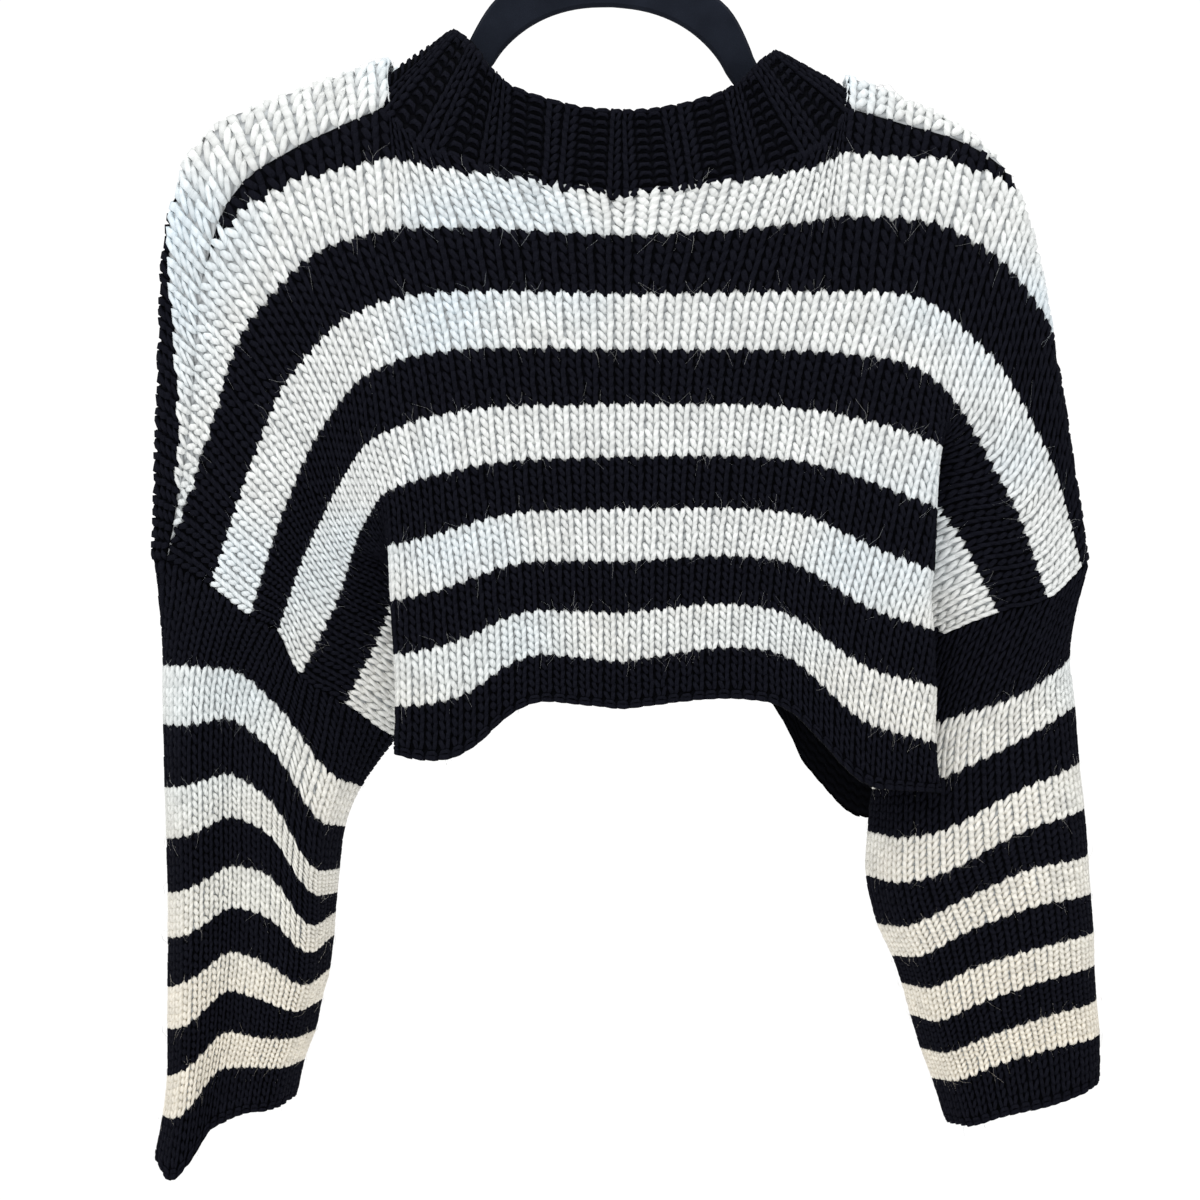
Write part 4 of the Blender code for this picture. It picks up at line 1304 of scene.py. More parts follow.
@dataclass
class StitchForms:
    """The templates of the stitches: closed lobes of yarn in columns, rows and millimetres."""

    column_pitch: float = 8.2
    row_pitch: float = 4.8
    sides: tuple[float, ...] = (-35.0, 52.0, 128.0, 215.0)
    lift_low: float = -1.2
    lift_span: float = 2.6

    def lobe(self, form: bmesh.types.BMesh, line: Sequence[tuple[float, float, float, float]]) -> None:
        """One length of yarn along a line.

        Args:
            form: The mesh it is added to.
            line: Column, row, lift and radius at each station; the last two in millimetres.
        """
        uv = form.loops.layers.uv.verify()
        lift_layer = form.verts.layers.float.get("lift") or form.verts.layers.float.new("lift")
        points = np.array([(x * self.column_pitch, y * self.row_pitch, z) for x, y, z, _ in line])
        steps = np.linalg.norm(np.diff(points, axis=0), axis=1)
        along = np.concatenate([[0], np.cumsum(steps)])
        tangents = unit(np.gradient(points, axis=0))
        rings = []
        for point, tangent, (_, _, _, radius) in zip(points, tangents, line):
            side = unit(np.cross(tangent, (0, 0, 1.0)))
            up = np.cross(side, tangent)
            ring = []
            for degrees in self.sides:
                angle = math.radians(degrees)
                place = point + side * math.cos(angle) * radius + up * math.sin(angle) * radius
                vertex = form.verts.new((place[0] / self.column_pitch, place[1] / self.row_pitch, place[2]))
                vertex[lift_layer] = (place[2] - self.lift_low) / self.lift_span
                ring.append(vertex)
            rings.append(ring)
        count = len(self.sides)
        for j in range(len(rings) - 1):
            for i in range(count):
                k = (i + 1) % count
                made = form.faces.new((rings[j][i], rings[j][k], rings[j + 1][k], rings[j + 1][i]))
                spots = ((j, i), (j, i + 1), (j + 1, i + 1), (j + 1, i))
                for loop, (row, turn) in zip(made.loops, spots):
                    loop[uv].uv = (along[row], turn / count)
                made.smooth = True
        for ring, turned in ((rings[0], True), (rings[-1], False)):
            made = form.faces.new(ring[::-1] if turned else ring)
            made.smooth = True

    def finish(self, name: str, form: bmesh.types.BMesh) -> bpy.types.Object:
        """Turn the lobes into a template object.

        Args:
            name: Its name, which also gives its order.
            form: The lobes.

        Returns:
            The object, in no collection yet.
        """
        bmesh.ops.triangulate(form, faces=form.faces)
        bmesh.ops.recalc_face_normals(form, faces=form.faces)
        mesh = bpy.data.meshes.new(name)
        form.to_mesh(mesh)
        form.free()
        mesh.uv_layers[0].name = "yarn"
        return bpy.data.objects.new(name, mesh)

    def collection(self) -> bpy.types.Collection:
        """Every template, in a collection that the trees pick from.

        Returns:
            The collection.
        """
        made = bpy.data.collections.new("stitch_forms")
        for kind, lines in STITCH_LOBES.items():
            form = bmesh.new()
            for line in lines:
                self.lobe(form, line)
            made.objects.link(self.finish(f"stitch_{kind.value}_{kind.name.lower()}", form))
        return made


@dataclass
class HairForms(StitchForms):
    """The templates of stray fibres: thin curved spindles that stand off the yarn."""

    sides: tuple[float, ...] = (-30.0, 90.0, 210.0)
    radius: float = 0.045
    radius_shares: tuple[float, ...] = (1.0, 0.9, 0.45)
    lines: tuple[tuple[tuple[float, float, float], ...], ...] = (
        ((0, 0, 1.4), (0.35, -0.8, 2.7), (0.55, -1.9, 2.3)),
        ((0, 0, 1.4), (-0.2, -1.1, 2.8), (-0.5, -2.1, 2.4)),
        ((0, 0, 1.4), (-0.5, -0.3, 2.9), (-0.8, -1.3, 2.5)),
        ((0, 0, 1.4), (0.25, 0.8, 2.7), (0.1, 1.8, 2.9)),
        ((0, 0, 1.4), (-0.3, 0.7, 2.8), (-0.4, 1.7, 2.3)),
        ((0, 0, 1.4), (0.45, 0.3, 2.8), (0.8, 1.2, 3.0)),
    )

    def collection(self) -> bpy.types.Collection:
        """Every template, in a collection that the trees pick from.

        Returns:
            The collection.
        """
        made = bpy.data.collections.new("hair_forms")
        for number, line in enumerate(self.lines):
            form = bmesh.new()
            self.lobe(form, [(*place, self.radius * share) for place, share in zip(line, self.radius_shares)])
            made.objects.link(self.finish(f"hair_{number}", form))
        return made


@dataclass
class KnitTree:
    """The Geometry Nodes tree that wraps stitches onto a carrier."""

    name: str = "wrap_stitches"

    def build(self) -> bpy.types.NodeTree:
        """The tree, built once.

        Returns:
            The tree with its named inputs.
        """
        tree = bpy.data.node_groups.new(self.name, "GeometryNodeTree")
        sockets = (
            ("Geometry", "NodeSocketGeometry"), ("Stitch forms", "NodeSocketCollection"),
            ("Cloth", "NodeSocketObject"), ("Origin", "NodeSocketVector"), ("Span", "NodeSocketVector"),
            ("Material", "NodeSocketMaterial"),
        )
        for label, kind in sockets:
            tree.interface.new_socket(label, in_out="INPUT", socket_type=kind)
        tree.interface.new_socket("Geometry", in_out="OUTPUT", socket_type="NodeSocketGeometry")
        nodes, links = tree.nodes, tree.links
        source = nodes.new("NodeGroupInput")
        target = nodes.new("NodeGroupOutput")
        forms = nodes.new("GeometryNodeCollectionInfo")
        forms.inputs["Separate Children"].default_value = True
        forms.inputs["Reset Children"].default_value = True
        links.new(source.outputs["Stitch forms"], forms.inputs["Collection"])
        kind = self.named(tree, "kind", "INT")
        size = self.named(tree, "size", "FLOAT_VECTOR")
        turn = self.named(tree, "turn", "FLOAT_VECTOR")
        place = nodes.new("GeometryNodeInstanceOnPoints")
        links.new(source.outputs["Geometry"], place.inputs["Points"])
        links.new(forms.outputs[0], place.inputs["Instance"])
        place.inputs["Pick Instance"].default_value = True
        links.new(kind, place.inputs["Instance Index"])
        rotation = nodes.new("FunctionNodeEulerToRotation")
        links.new(turn, rotation.inputs[0])
        links.new(rotation.outputs[0], place.inputs["Rotation"])
        links.new(size, place.inputs["Scale"])
        realised = nodes.new("GeometryNodeRealizeInstances")
        links.new(place.outputs[0], realised.inputs["Geometry"])
        cloth = nodes.new("GeometryNodeObjectInfo")
        links.new(source.outputs["Cloth"], cloth.inputs["Object"])
        position = nodes.new("GeometryNodeInputPosition")
        flat = self.vector(tree, "SUBTRACT", position.outputs[0], source.outputs["Origin"])
        flat = self.vector(tree, "DIVIDE", flat, source.outputs["Span"])
        knit = self.named(tree, "knit", "FLOAT_VECTOR")
        spot = self.sample(tree, cloth.outputs["Geometry"], position.outputs[0], knit, flat)
        way_out = self.named(tree, "way_out", "FLOAT_VECTOR")
        out = self.sample(tree, cloth.outputs["Geometry"], way_out, knit, flat)
        lift = math_node(tree, "MULTIPLY", split_xyz(tree, position.outputs[0])["Z"], MM)
        raised = nodes.new("ShaderNodeVectorMath")
        raised.operation = "SCALE"
        links.new(self.vector(tree, "NORMALIZE", out), raised.inputs[0])
        links.new(lift, raised.inputs["Scale"])
        wrapped = nodes.new("GeometryNodeSetPosition")
        links.new(realised.outputs[0], wrapped.inputs["Geometry"])
        links.new(self.vector(tree, "ADD", spot, raised.outputs[0]), wrapped.inputs["Position"])
        dressed = nodes.new("GeometryNodeSetMaterial")
        links.new(wrapped.outputs[0], dressed.inputs["Geometry"])
        links.new(source.outputs["Material"], dressed.inputs["Material"])
        links.new(dressed.outputs[0], target.inputs[0])
        return tree

    @staticmethod
    def named(tree: bpy.types.NodeTree, name: str, kind: str) -> bpy.types.NodeSocket:
        """A named attribute's socket.

        Args:
            tree: The nodes to add to.
            name: The attribute.
            kind: Its data type.

        Returns:
            The socket.
        """
        node = tree.nodes.new("GeometryNodeInputNamedAttribute")
        node.data_type = kind
        node.inputs["Name"].default_value = name
        return next(socket for socket in node.outputs if socket.enabled and socket.name == "Attribute")

    @staticmethod
    def vector(
        tree: bpy.types.NodeTree, operation: str, *values: bpy.types.NodeSocket,
    ) -> bpy.types.NodeSocket:
        """A Vector Math node's result.

        Args:
            tree: The nodes to add to.
            operation: What the node does.
            values: What it does it with.

        Returns:
            The result.
        """
        node = tree.nodes.new("ShaderNodeVectorMath")
        node.operation = operation
        for socket, value in zip(node.inputs, values):
            tree.links.new(value, socket)
        return node.outputs[0]

    @staticmethod
    def sample(
        tree: bpy.types.NodeTree, mesh: bpy.types.NodeSocket, value: bpy.types.NodeSocket,
        layer: bpy.types.NodeSocket, at: bpy.types.NodeSocket,
    ) -> bpy.types.NodeSocket:
        """A value read from a surface at knit coordinates.

        Args:
            tree: The tree it goes in.
            mesh: The surface.
            value: What to read there.
            layer: The surface's own knit coordinates.
            at: The coordinates to read at.

        Returns:
            The value's socket.
        """
        node = tree.nodes.new("GeometryNodeSampleUVSurface")
        node.data_type = "FLOAT_VECTOR"
        enabled = [socket for socket in node.inputs if socket.enabled]
        for socket, given in zip(enabled, (mesh, value, layer, at)):
            tree.links.new(given, socket)
        return next(socket for socket in node.outputs if socket.enabled)


@dataclass
class StitchField:
    """The stitches of one piece: where each lies, its form and its tone."""

    columns: np.ndarray
    rows: np.ndarray
    kinds: np.ndarray
    tones: np.ndarray
    seed: int
    unevenness: float = 0.02
    size_spread: float = 0.035
    sway: float = 0.035
    lift_spread: float = 0.06
    edge_weight: float = 14.0
    edge_low: float = 0.7
    edge_high: float = 1.3
    hair_seeds: tuple[int, int] = (100, 200)
    hair_size_spread: float = 0.35
    hair_sway: float = 0.5

    @classmethod
    def of(
        cls, spots: list[tuple[float, float, Stitch]], tones: Callable[[np.ndarray, np.ndarray], np.ndarray],
        seed: int,
    ) -> "StitchField":
        """A field from a list of stitches.

        Args:
            spots: Column, row and form of each stitch.
            tones: What gives each column and row its tone.
            seed: For the unevenness.

        Returns:
            The field.
        """
        columns, rows = (np.array([spot[k] for spot in spots], float) for k in (0, 1))
        kinds = np.array([spot[2].value for spot in spots])
        return cls(columns, rows, kinds, tones(columns, rows), seed)

    def chosen(self, keep: np.ndarray) -> "StitchField":
        """The stitches that a mask keeps."""
        return StitchField(
            self.columns[keep], self.rows[keep], self.kinds[keep], self.tones[keep], self.seed)

    def hairs(self, count: int, forms: int, stripe_rows: int) -> "StitchField":
        """Stray fibres rooted on the stitches, most of them where white meets black.

        Args:
            count: How many.
            forms: How many templates there are, the downward half of them first.
            stripe_rows: Rows to a stripe.

        Returns:
            The field of hairs.
        """
        pick_seed, field_seed = self.hair_seeds
        random = np.random.default_rng(self.seed + pick_seed)
        in_stripe = self.rows % stripe_rows
        at_edge = (in_stripe < self.edge_low) | (in_stripe > stripe_rows - self.edge_high)
        weight = np.where((self.tones > 0.5) & at_edge, self.edge_weight, 1.0)
        picked = random.choice(len(self.rows), count, replace=True, p=weight / weight.sum())
        upward = in_stripe[picked] > stripe_rows / 2
        half = forms // 2
        return StitchField(
            self.columns[picked] + random.uniform(-0.4, 0.4, count),
            self.rows[picked] + random.uniform(0.1, 0.9, count),
            random.integers(0, half, count) + np.where(upward, half, 0), self.tones[picked],
            self.seed + field_seed,
            size_spread=self.hair_size_spread, sway=self.hair_sway,
        )

    def make_object(self, name: str) -> bpy.types.Object:
        """The stitches as points with attributes.

        Args:
            name: The object's name.

        Returns:
            The object, linked to the scene.
        """
        random = np.random.default_rng(self.seed)
        count = len(self.columns)
        mesh = bpy.data.meshes.new(name)
        spots = np.stack([
            self.columns + random.normal(0, self.unevenness, count),
            self.rows + random.normal(0, self.unevenness * 1.5, count),
            random.normal(0, self.lift_spread, count),
        ], axis=1)
        mesh.from_pydata(spots.tolist(), [], [])
        shades = random.normal(0, 1, count).clip(-2, 2)
        size = 1 + random.normal(0, self.size_spread, (count, 3)).clip(-0.8, 0.8) * (0.5, 0.6, 1.0)
        turn = np.zeros((count, 3))
        turn[:, 2] = random.normal(0, self.sway, count)
        for label, kind, values in (
            ("kind", "INT", self.kinds), ("tone", "FLOAT", self.tones), ("shade", "FLOAT", shades),
            ("size", "FLOAT_VECTOR", size), ("turn", "FLOAT_VECTOR", turn),
        ):
            layer = mesh.attributes.new(label, kind, "POINT")
            member = "vector" if kind == "FLOAT_VECTOR" else "value"
            layer.data.foreach_set(member, values.astype(np.int32 if kind == "INT" else np.float32).ravel())
        return linked(name, mesh)


@dataclass
class Knitter:
    """Knits pieces: stitches wrapped onto carriers, and the cloth behind them."""

    yarn: bpy.types.Material
    lining: bpy.types.Material
    front: float = 0.2
    thickness: float = 2.0
    stripe_rows: int = 6
    tree: bpy.types.NodeTree = field(init=False)
    forms: bpy.types.Collection = field(init=False)
    hairs: bpy.types.Collection = field(init=False)

    def __post_init__(self) -> None:
        """Build the tree and the templates once."""
        self.tree = KnitTree().build()
        self.forms = StitchForms().collection()
        self.hairs = HairForms().collection()

    def fuzz(self, name: str, carrier: Carrier, stitches: StitchField, count: int) -> bpy.types.Object:
        """The stray fibres of a piece.

        Args:
            name: The piece's name.
            carrier: The surface.
            stitches: The stitches that they stand on.
            count: How many.

        Returns:
            The fibres, a plain mesh.
        """
        hairs = stitches.hairs(count, len(HairForms.lines), self.stripe_rows)
        return self.stitches(f"{name}_fuzz", carrier, hairs, self.hairs)

    def stitches(
        self, name: str, carrier: Carrier, stitches: StitchField, forms: bpy.types.Collection | None = None,
    ) -> bpy.types.Object:
        """Wrap stitches onto a carrier.

        Args:
            name: The piece's name.
            carrier: The surface.
            stitches: What to place on it.
            forms: The templates, where they aren't the stitches' own.

        Returns:
            The piece, a plain mesh.
        """
        cloth = carrier.make_object()
        points = stitches.make_object(name + "_points")
        modifier = points.modifiers.new("wrap", "NODES")
        modifier.node_group = self.tree
        values = {
            "Stitch forms": forms or self.forms,
            "Cloth": cloth,
            "Origin": (carrier.columns[0], carrier.rows[0], 0.0),
            "Span": (carrier.columns[-1] - carrier.columns[0], carrier.rows[-1] - carrier.rows[0], 1.0),
            "Material": self.yarn,
        }
        for item in self.tree.interface.items_tree:
            if item.in_out == "INPUT" and item.name in values:
                modifier[item.identifier] = values[item.name]
        made = plain_copy(points, name)
        for thing in (points, cloth):
            bpy.data.objects.remove(thing, do_unlink=True)
        LOG.info("%s: %d stitches, %d triangles", name, len(stitches.columns), len(made.data.loop_triangles))
        return made

    def cloth(
        self, name: str, carrier: Carrier, columns: np.ndarray, rows: np.ndarray,
        last_stripe: int, tops: np.ndarray | None = None, closed: bool = False,
        stripe_row: Callable[[np.ndarray, np.ndarray], np.ndarray] | None = None,
    ) -> bpy.types.Object:
        """The thin cloth behind the stitches, a closed shell.

        Args:
            name: The piece's name.
            carrier: The surface it lies on.
            columns: Its lines across.
            rows: Its lines up, at whole rows.
            last_stripe: The number of its last stripe, which goes on to the top.
            tops: The highest row at each column, where the top isn't level.
            closed: Whether it goes all round.
            stripe_row: The row that gives each place its stripe, where that isn't its own.

        Returns:
            The piece.
        """
        limit = np.full(len(columns), rows[-1]) if tops is None else tops
        grid_rows = np.minimum(rows[:, None], limit[None, :])
        places, outs = carrier.read(np.broadcast_to(columns, grid_rows.shape), grid_rows)
        index = np.zeros(grid_rows.shape, int)
        spots: list[tuple[int, int]] = []
        for j in range(len(rows)):
            for i in range(len(columns)):
                if j and grid_rows[j, i] == grid_rows[j - 1, i]:
                    index[j, i] = index[j - 1, i]
                else:
                    index[j, i] = len(spots)
                    spots.append((j, i))
        faces, tones, corners = [], [], []
        across = len(columns) if closed else len(columns) - 1
        for j in range(len(rows) - 1):
            for i in range(across):
                k = (i + 1) % len(columns)
                ring = [(j, i), (j, k), (j + 1, k), (j + 1, i)]
                face, used = [], []
                for spot in ring:
                    if index[spot] not in face:
                        face.append(int(index[spot]))
                        used.append(spot)
                if len(face) > 2:
                    faces.append(face)
                    row = rows[j] + 0.5
                    if stripe_row:
                        row = float(stripe_row(np.array([columns[i] + 0.5]), np.array([row]))[0])
                    tones.append(float(stripe_tones(row, self.stripe_rows, last_stripe)))
                    step = columns[1] - columns[0]
                    corners.append([(columns[i] + step * (b != i), grid_rows[a, b]) for a, b in used])
        js, is_ = np.array(spots).T
        skin = places[js, is_]
        way = outs[js, is_]
        return self.shell(name, skin, way, faces, tones, corners)

    def shell(
        self, name: str, skin: np.ndarray, way: np.ndarray, faces: list[list[int]],
        tones: list[float], corners: list[list[tuple[float, float]]],
    ) -> bpy.types.Object:
        """Give a surface its thickness and close it along its edges.

        Args:
            name: The piece's name.
            skin: Its points in millimetres.
            way: The way out at each.
            faces: Its faces.
            tones: Each face's tone.
            corners: Knit coordinates of each face's corners.

        Returns:
            The piece.
        """
        count = len(skin)
        points = np.concatenate([skin + way * self.front, skin + way * (self.front - self.thickness)]) * MM
        edges: dict[tuple[int, int], int] = {}
        for number, face in enumerate(faces):
            for a, b in zip(face, face[1:] + face[:1]):
                if (b, a) in edges:
                    del edges[(b, a)]
                else:
                    edges[(a, b)] = number
        every = [list(face) for face in faces] + [[v + count for v in face[::-1]] for face in faces]
        every_tone = list(tones) + list(tones)
        every_uv = [list(corner) for corner in corners] + [list(corner)[::-1] for corner in corners]
        for (a, b), number in edges.items():
            every.append([b, a, a + count, b + count])
            every_tone.append(tones[number])
            every_uv.append([corners[number][0]] * 4)
        mesh = bpy.data.meshes.new(name)
        mesh.from_pydata(points.tolist(), [], every)
        tone = mesh.attributes.new("tone", "FLOAT", "FACE")
        tone.data.foreach_set("value", np.array(every_tone, np.float32))
        layer = mesh.uv_layers.new(name="knit")
        flat = [pair for face in every_uv for pair in face]
        layer.data.foreach_set("uv", np.array(flat, np.float32).ravel())
        mesh.materials.append(self.lining)
        mesh.shade_smooth()
        form = bmesh.new()
        form.from_mesh(mesh)
        bmesh.ops.recalc_face_normals(form, faces=form.faces)
        if form.calc_volume(signed=True) < 0:
            bmesh.ops.reverse_faces(form, faces=form.faces)
        form.to_mesh(mesh)
        form.free()
        LOG.info("%s: %d faces", name, len(every))
        return linked(name, mesh)


def plain_copy(source: bpy.types.Object, name: str) -> bpy.types.Object:
    """What an object's modifiers make of it, as a plain mesh object.

    Args:
        source: The object with its modifiers.
        name: The new object's name.

    Returns:
        The new object, linked to the scene.
    """
    graph = bpy.context.evaluated_depsgraph_get()
    mesh = bpy.data.meshes.new_from_object(source.evaluated_get(graph), depsgraph=graph)
    mesh.name = name
    mesh.calc_loop_triangles()
    return linked(name, mesh)


def stripe_tones(rows: np.ndarray, stripe_rows: int, last: int) -> np.ndarray:
    """0 for a black stripe and 1 for a white one.

    Args:
        rows: Rows from the hem or cuff.
        stripe_rows: Rows to a stripe.
        last: The last stripe's number, which goes on to the top.

    Returns:
        The tone at each row.
    """
    return np.clip(np.floor(np.asarray(rows) / stripe_rows), 0, last) % 2


# --------------------------------------------------------------------- pieces


@dataclass
class Panel:
    """A panel of the body."""

    face: Face
    form: BodyForm
    knitter: Knitter
    margin: float = 1.5
    fine_from: float = 50.0
    last_stripe: int = 11
    purl_rows: int = 1
    seam_rows: int = 6
    seam_gap: float = 0.15
    bend_from: float = 26.0
    tone_from: float = 0.3
    least_deep: float = 1.2
    hairs: int = 1250
    seed: int = 3

    @property
    def name(self) -> str:
        """The panel's name, which is its solid's."""
        return f"{self.face.name.lower()}_panel"

    def carrier(self) -> Carrier:
        """The panel's surface on a grid past its edges.

        Returns:
            The carrier.
        """
        limit = self.form.half_columns
        columns = np.concatenate([[-limit - 0.5], np.arange(-limit, limit + 0.25, 0.5), [limit + 0.5]])
        highest = float(self.form.top(np.array([self.form.neck_column]), self.face)[0])
        rows = np.concatenate([
            np.arange(-1.5, self.fine_from, 0.5), np.arange(self.fine_from, highest + self.margin, 0.125)])
        u, v = np.meshgrid(columns, rows)
        places = self.form.place(u.ravel(), v.ravel(), self.face)
        outs = self.form.way_out(u.ravel(), v.ravel(), self.face)
        shape = (*u.shape, 3)
        places, outs = places.reshape(shape), outs.reshape(shape)
        low = rows < self.form.underarm_row
        sign = self.face.value
        places[low, :, 1] = sign * np.maximum(sign * places[low, :, 1], self.least_deep)
        return Carrier(f"form_{self.name}", columns, rows, places, outs)

    def field(self) -> StitchField:
        """Every stitch of the panel.

        Returns:
            The field.
        """
        spots = []
        limit = int(self.form.half_columns)
        for column in range(-limit, limit + 1):
            top = float(self.form.top(np.array([float(column)]), self.face)[0]) - self.seam_gap
            count = int(round(top))
            last = count - self.seam_rows
            spread = (top - last) / self.seam_rows
            for row in range(count):
                place = row if row < last else last + (row - last) * spread
                spots.append((column, place, Stitch.PURL if row < self.purl_rows else Stitch.KNIT))
            spots.append((column, 0, Stitch.EDGE))
        return StitchField.of(spots, self.tones, self.seed)

    def tones(self, column: np.ndarray, row: np.ndarray) -> np.ndarray:
        """The tone of each stitch."""
        stripe = self.stripe_row(column, row + self.tone_from)
        return stripe_tones(stripe, self.knitter.stripe_rows, self.last_stripe)

    def stripe_row(self, column: np.ndarray, row: np.ndarray) -> np.ndarray:
        """The row that gives a stitch its stripe: the front's stripes bend up to its shoulders.

        Args:
            column: Columns.
            row: Rows, the same shape.

        Returns:
            Rows counted along the stripes.
        """
        if self.face is Face.BACK:
            return row
        reference = self.form.top(np.maximum(np.abs(column), self.form.neck_column), self.face)
        shift = from_pairs(np.abs(column), FRONT_STRIPES) - reference
        share = np.clip((row - self.bend_from) / (reference - self.bend_from), 0, 1)
        return row + shift * smooth(share)

    def build(self) -> list[bpy.types.Object]:
        """Make the panel's cloth and its stitches.

        Returns:
            The cloth first, then the stitches of the left and the right half.
        """
        carrier = self.carrier()
        limit = self.form.half_columns
        columns = np.arange(-limit, limit + 0.5, 1.0)
        tops = self.form.top(columns, self.face)
        rows = np.arange(0, math.ceil(tops.max()) + 1, 1.0)
        cloth = self.knitter.cloth(
            f"{self.name}_cloth", carrier, columns, rows, self.last_stripe, tops, stripe_row=self.stripe_row)
        whole = self.field()
        made = [cloth]
        for side in Side:
            half = whole.chosen(whole.columns < 0 if side is Side.LEFT else whole.columns >= 0)
            half.seed += side.value
            made.append(self.knitter.stitches(f"{self.name}_stitches_{side.name.lower()}", carrier, half))
        made.append(self.knitter.fuzz(self.name, carrier, whole, self.hairs))
        return made


@dataclass
class Sleeve:
    """A sleeve."""

    form: SleeveForm
    knitter: Knitter
    purl_rows: int = 1
    hairs: int = 650
    seed: int = 11

    @property
    def name(self) -> str:
        """The sleeve's name, which is its solid's."""
        return f"sleeve_{self.form.side.name.lower()}"

    def field(self) -> StitchField:
        """Every stitch of the sleeve.

        Returns:
            The field.
        """
        spots = []
        for column in range(self.form.columns):
            for row in range(self.form.total_rows):
                spots.append((column + 0.5, row, Stitch.PURL if row < self.purl_rows else Stitch.KNIT))
            spots.append((column + 0.5, 0, Stitch.EDGE))
        return StitchField.of(spots, self.tones, self.seed)

    def tones(self, _: np.ndarray, row: np.ndarray) -> np.ndarray:
        """The tone of each stitch."""
        return stripe_tones(row, self.knitter.stripe_rows, len(self.form.rings) - 1)

    def build(self) -> list[bpy.types.Object]:
        """Make the sleeve's cloth and its stitches.

        Returns:
            The cloth first, then the stitches.
        """
        carrier = self.form.carrier()
        columns = np.arange(0, self.form.columns, 1.0)
        rows = np.arange(0, self.form.total_rows + 1, 1.0)
        last = len(self.form.rings) - 1
        cloth = self.knitter.cloth(f"{self.name}_cloth", carrier, columns, rows, last, closed=True)
        stitches = self.field()
        return [
            cloth,
            self.knitter.stitches(f"{self.name}_stitches", carrier, stitches),
            self.knitter.fuzz(self.name, carrier, stitches, self.hairs),
        ]


@dataclass
class Collar:
    """The ribbed collar."""

    form: CollarForm
    knitter: Knitter
    seam_rows: int = 1
    cloth_start: float = -0.8
    light_stitches: tuple[tuple[float, int], ...] = ((18.5, 0), (58.5, 0))
    seed: int = 29
    name: str = "collar"

    def field(self) -> StitchField:
        """Every stitch of the collar, two knit and two purl to a rib.

        Returns:
            The field.
        """
        spots = []
        for column in range(self.form.columns):
            raised = column % self.form.rib_columns in (0, self.form.rib_columns - 1)
            for row in range(-self.seam_rows, self.form.rows):
                spots.append((column + 0.5, row, Stitch.KNIT if raised else Stitch.PURL))
            spots.append((column + 0.5, self.form.rows, Stitch.EDGE))
        return StitchField.of(spots, self.tones, self.seed)

    def tones(self, column: np.ndarray, row: np.ndarray) -> np.ndarray:
        """The tone of each stitch."""
        return np.array([float(spot in self.light_stitches) for spot in zip(column, row)])

    def build(self) -> list[bpy.types.Object]:
        """Make the collar's cloth and its stitches.

        Returns:
            The cloth first, then the stitches.
        """
        carrier = self.form.carrier()
        columns = np.arange(0, self.form.columns, 1.0)
        rows = np.concatenate([[self.cloth_start], np.arange(0, self.form.rows + 1, 1.0)])
        cloth = self.knitter.cloth(f"{self.name}_cloth", carrier, columns, rows, 0, closed=True)
        return [cloth, self.knitter.stitches(f"{self.name}_stitches", carrier, self.field())]


@dataclass
class Sheet:
    """What a piece of cloth was before it hung: its flat size in columns and rows."""

    columns: float
    rows: float
    column_pitch: float = 8.0
    row_pitch: float = 4.9

    @property
    def flat(self) -> tuple[float, float]:
        """Width and length of the flat cut, in metres."""
        return self.columns * self.column_pitch * MM, self.rows * self.row_pitch * MM


@dataclass
class Sweater:
    """The sweater: two panels, two sleeves and a collar."""

    yarn: YarnFinish = YarnFinish("striped_yarn")
    lining: LiningFinish = LiningFinish("striped_yarn_inside")
    form: BodyForm = field(default_factory=BodyForm)
    sleeve_column_pitch: float = 5.9
    sleeve_row_pitch: float = 4.3

    def build(self) -> None:
        """Make every piece, attach it to the body and hide its solid."""
        knitter = Knitter(self.yarn.material(), self.lining.material())
        pieces: list[tuple[str, str, list[bpy.types.Object], Sheet]] = []
        for face in Face:
            panel = Panel(face, self.form, knitter, seed=3 if face is Face.BACK else 7)
            tall = self.form.top_row_at_neck + (0 if face is Face.BACK else self.form.front_extra_rows)
            flat = Sheet(2 * self.form.half_columns, tall)
            pieces.append((panel.name, "striped_yarn", panel.build(), flat))
        for side in Side:
            form = SleeveForm(side, self.form)
            sleeve = Sleeve(form, knitter, seed=11 + side.value)
            flat = Sheet(form.columns, form.total_rows, self.sleeve_column_pitch, self.sleeve_row_pitch)
            pieces.append((sleeve.name, "striped_yarn", sleeve.build(), flat))
        collar_form = CollarForm(self.form)
        collar = Collar(collar_form, knitter)
        flat = Sheet(collar_form.columns, collar_form.rows)
        pieces.append((collar.name, "black_yarn", collar.build(), flat))
        for node, slot, made, sheet in pieces:
            for piece in made:
                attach(piece, BODY)
            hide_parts(node)


@dataclass
class Hanger:
    """The hanger and its hook, which keep their solids' shapes."""

    flock: FlockFinish = FlockFinish()
    steel: SteelFinish = SteelFinish()

    def dress(self, nodes: dict[str, bpy.types.Object]) -> None:
        """Give both solids their finishes.

        Args:
            nodes: The frame's objects by name.
        """
        for name, finish in (("hanger", self.flock), ("hanger_hook", self.steel)):
            node = nodes[name]
            node.data.materials.clear()
            node.data.materials.append(finish.material())
            LOG.info("%s: %s", name, finish.name)


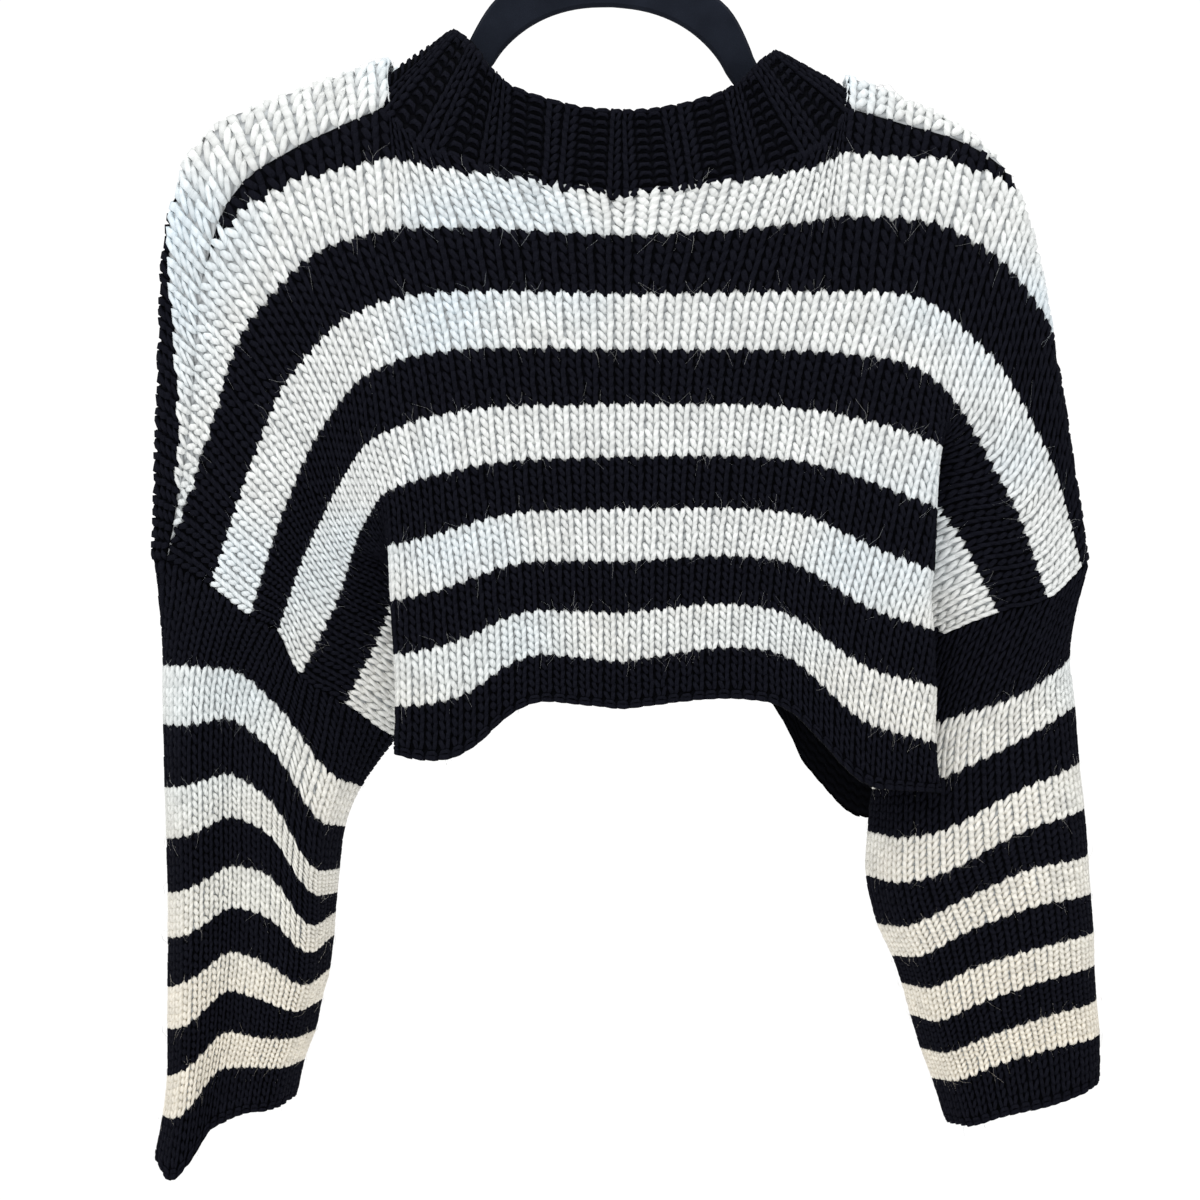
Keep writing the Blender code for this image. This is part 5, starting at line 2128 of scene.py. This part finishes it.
@dataclass
class Studio:
    """Floor, light and camera."""

    eye: tuple[float, float, float] = (-0.0123, -1.6, -0.4126)
    lens: float = 85.7
    floor_drop: float = 1.6
    floor_radius: float = 9.0
    pale: tuple[float, float, float] = (0.97, 0.97, 0.97)
    sky: float = 1.06
    aim: tuple[float, float, float] = (0.0, 0.0, -0.4)
    lamps: tuple[tuple[str, tuple[float, float, float], float, float], ...] = (
        ("key", (-1.1, -1.5, 0.9), 1.0, 10.0),
        ("fill", (1.6, -1.4, -0.2), 1.4, 2.0),
        ("top", (0.1, -0.4, 1.5), 0.8, 9.0),
    )

    def build(self) -> None:
        """Make everything that isn't part of the sweater."""
        self.floor()
        self.light()
        self.camera()

    def floor(self) -> None:
        """A plain pale disc below the sweater."""
        form = bmesh.new()
        bmesh.ops.create_circle(form, cap_ends=True, segments=64, radius=self.floor_radius)
        bmesh.ops.translate(form, verts=form.verts, vec=(0, 0, -self.floor_drop))
        mesh = bpy.data.meshes.new("floor")
        form.to_mesh(mesh)
        form.free()
        material, _, shader = new_material("pale_floor")
        shader.inputs["Base Color"].default_value = (*self.pale, 1.0)
        shader.inputs["Roughness"].default_value = 0.9
        mesh.materials.append(material)
        floor = linked("floor", mesh)

    def light(self) -> None:
        """A pale world and three soft lamps."""
        world = bpy.data.worlds.new("studio")
        world.use_nodes = True
        background = world.node_tree.nodes["Background"]
        background.inputs["Color"].default_value = (1.0, 1.0, 1.0, 1.0)
        background.inputs["Strength"].default_value = self.sky
        bpy.context.scene.world = world
        for name, place, size, power in self.lamps:
            data = bpy.data.lights.new(name, "AREA")
            data.size = size
            data.energy = power
            lamp = linked(name, data)
            lamp.location = place
            lamp.rotation_mode = "QUATERNION"
            lamp.rotation_quaternion = (Vector(self.aim) - Vector(place)).to_track_quat("-Z", "Y")

    def camera(self) -> None:
        """A camera square on to the back of the sweater."""
        data = bpy.data.cameras.new("camera")
        data.lens = self.lens
        data.sensor_width = 36.0
        camera = linked("camera", data)
        camera.location = self.eye
        camera.rotation_euler = (math.radians(90), 0, 0)
        bpy.context.scene.camera = camera


def main() -> None:
    """Build the sweater, dress the frame and make the studio."""
    logging.basicConfig(level=logging.INFO, format="%(name)s: %(message)s")
    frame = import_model()
    Sweater().build()
    Hanger().dress(frame["nodes"])
    Studio().build()
    bpy.context.scene.view_settings.view_transform = "Standard"
    bpy.context.view_layer.update()


if __name__ == "__main__":
    main()
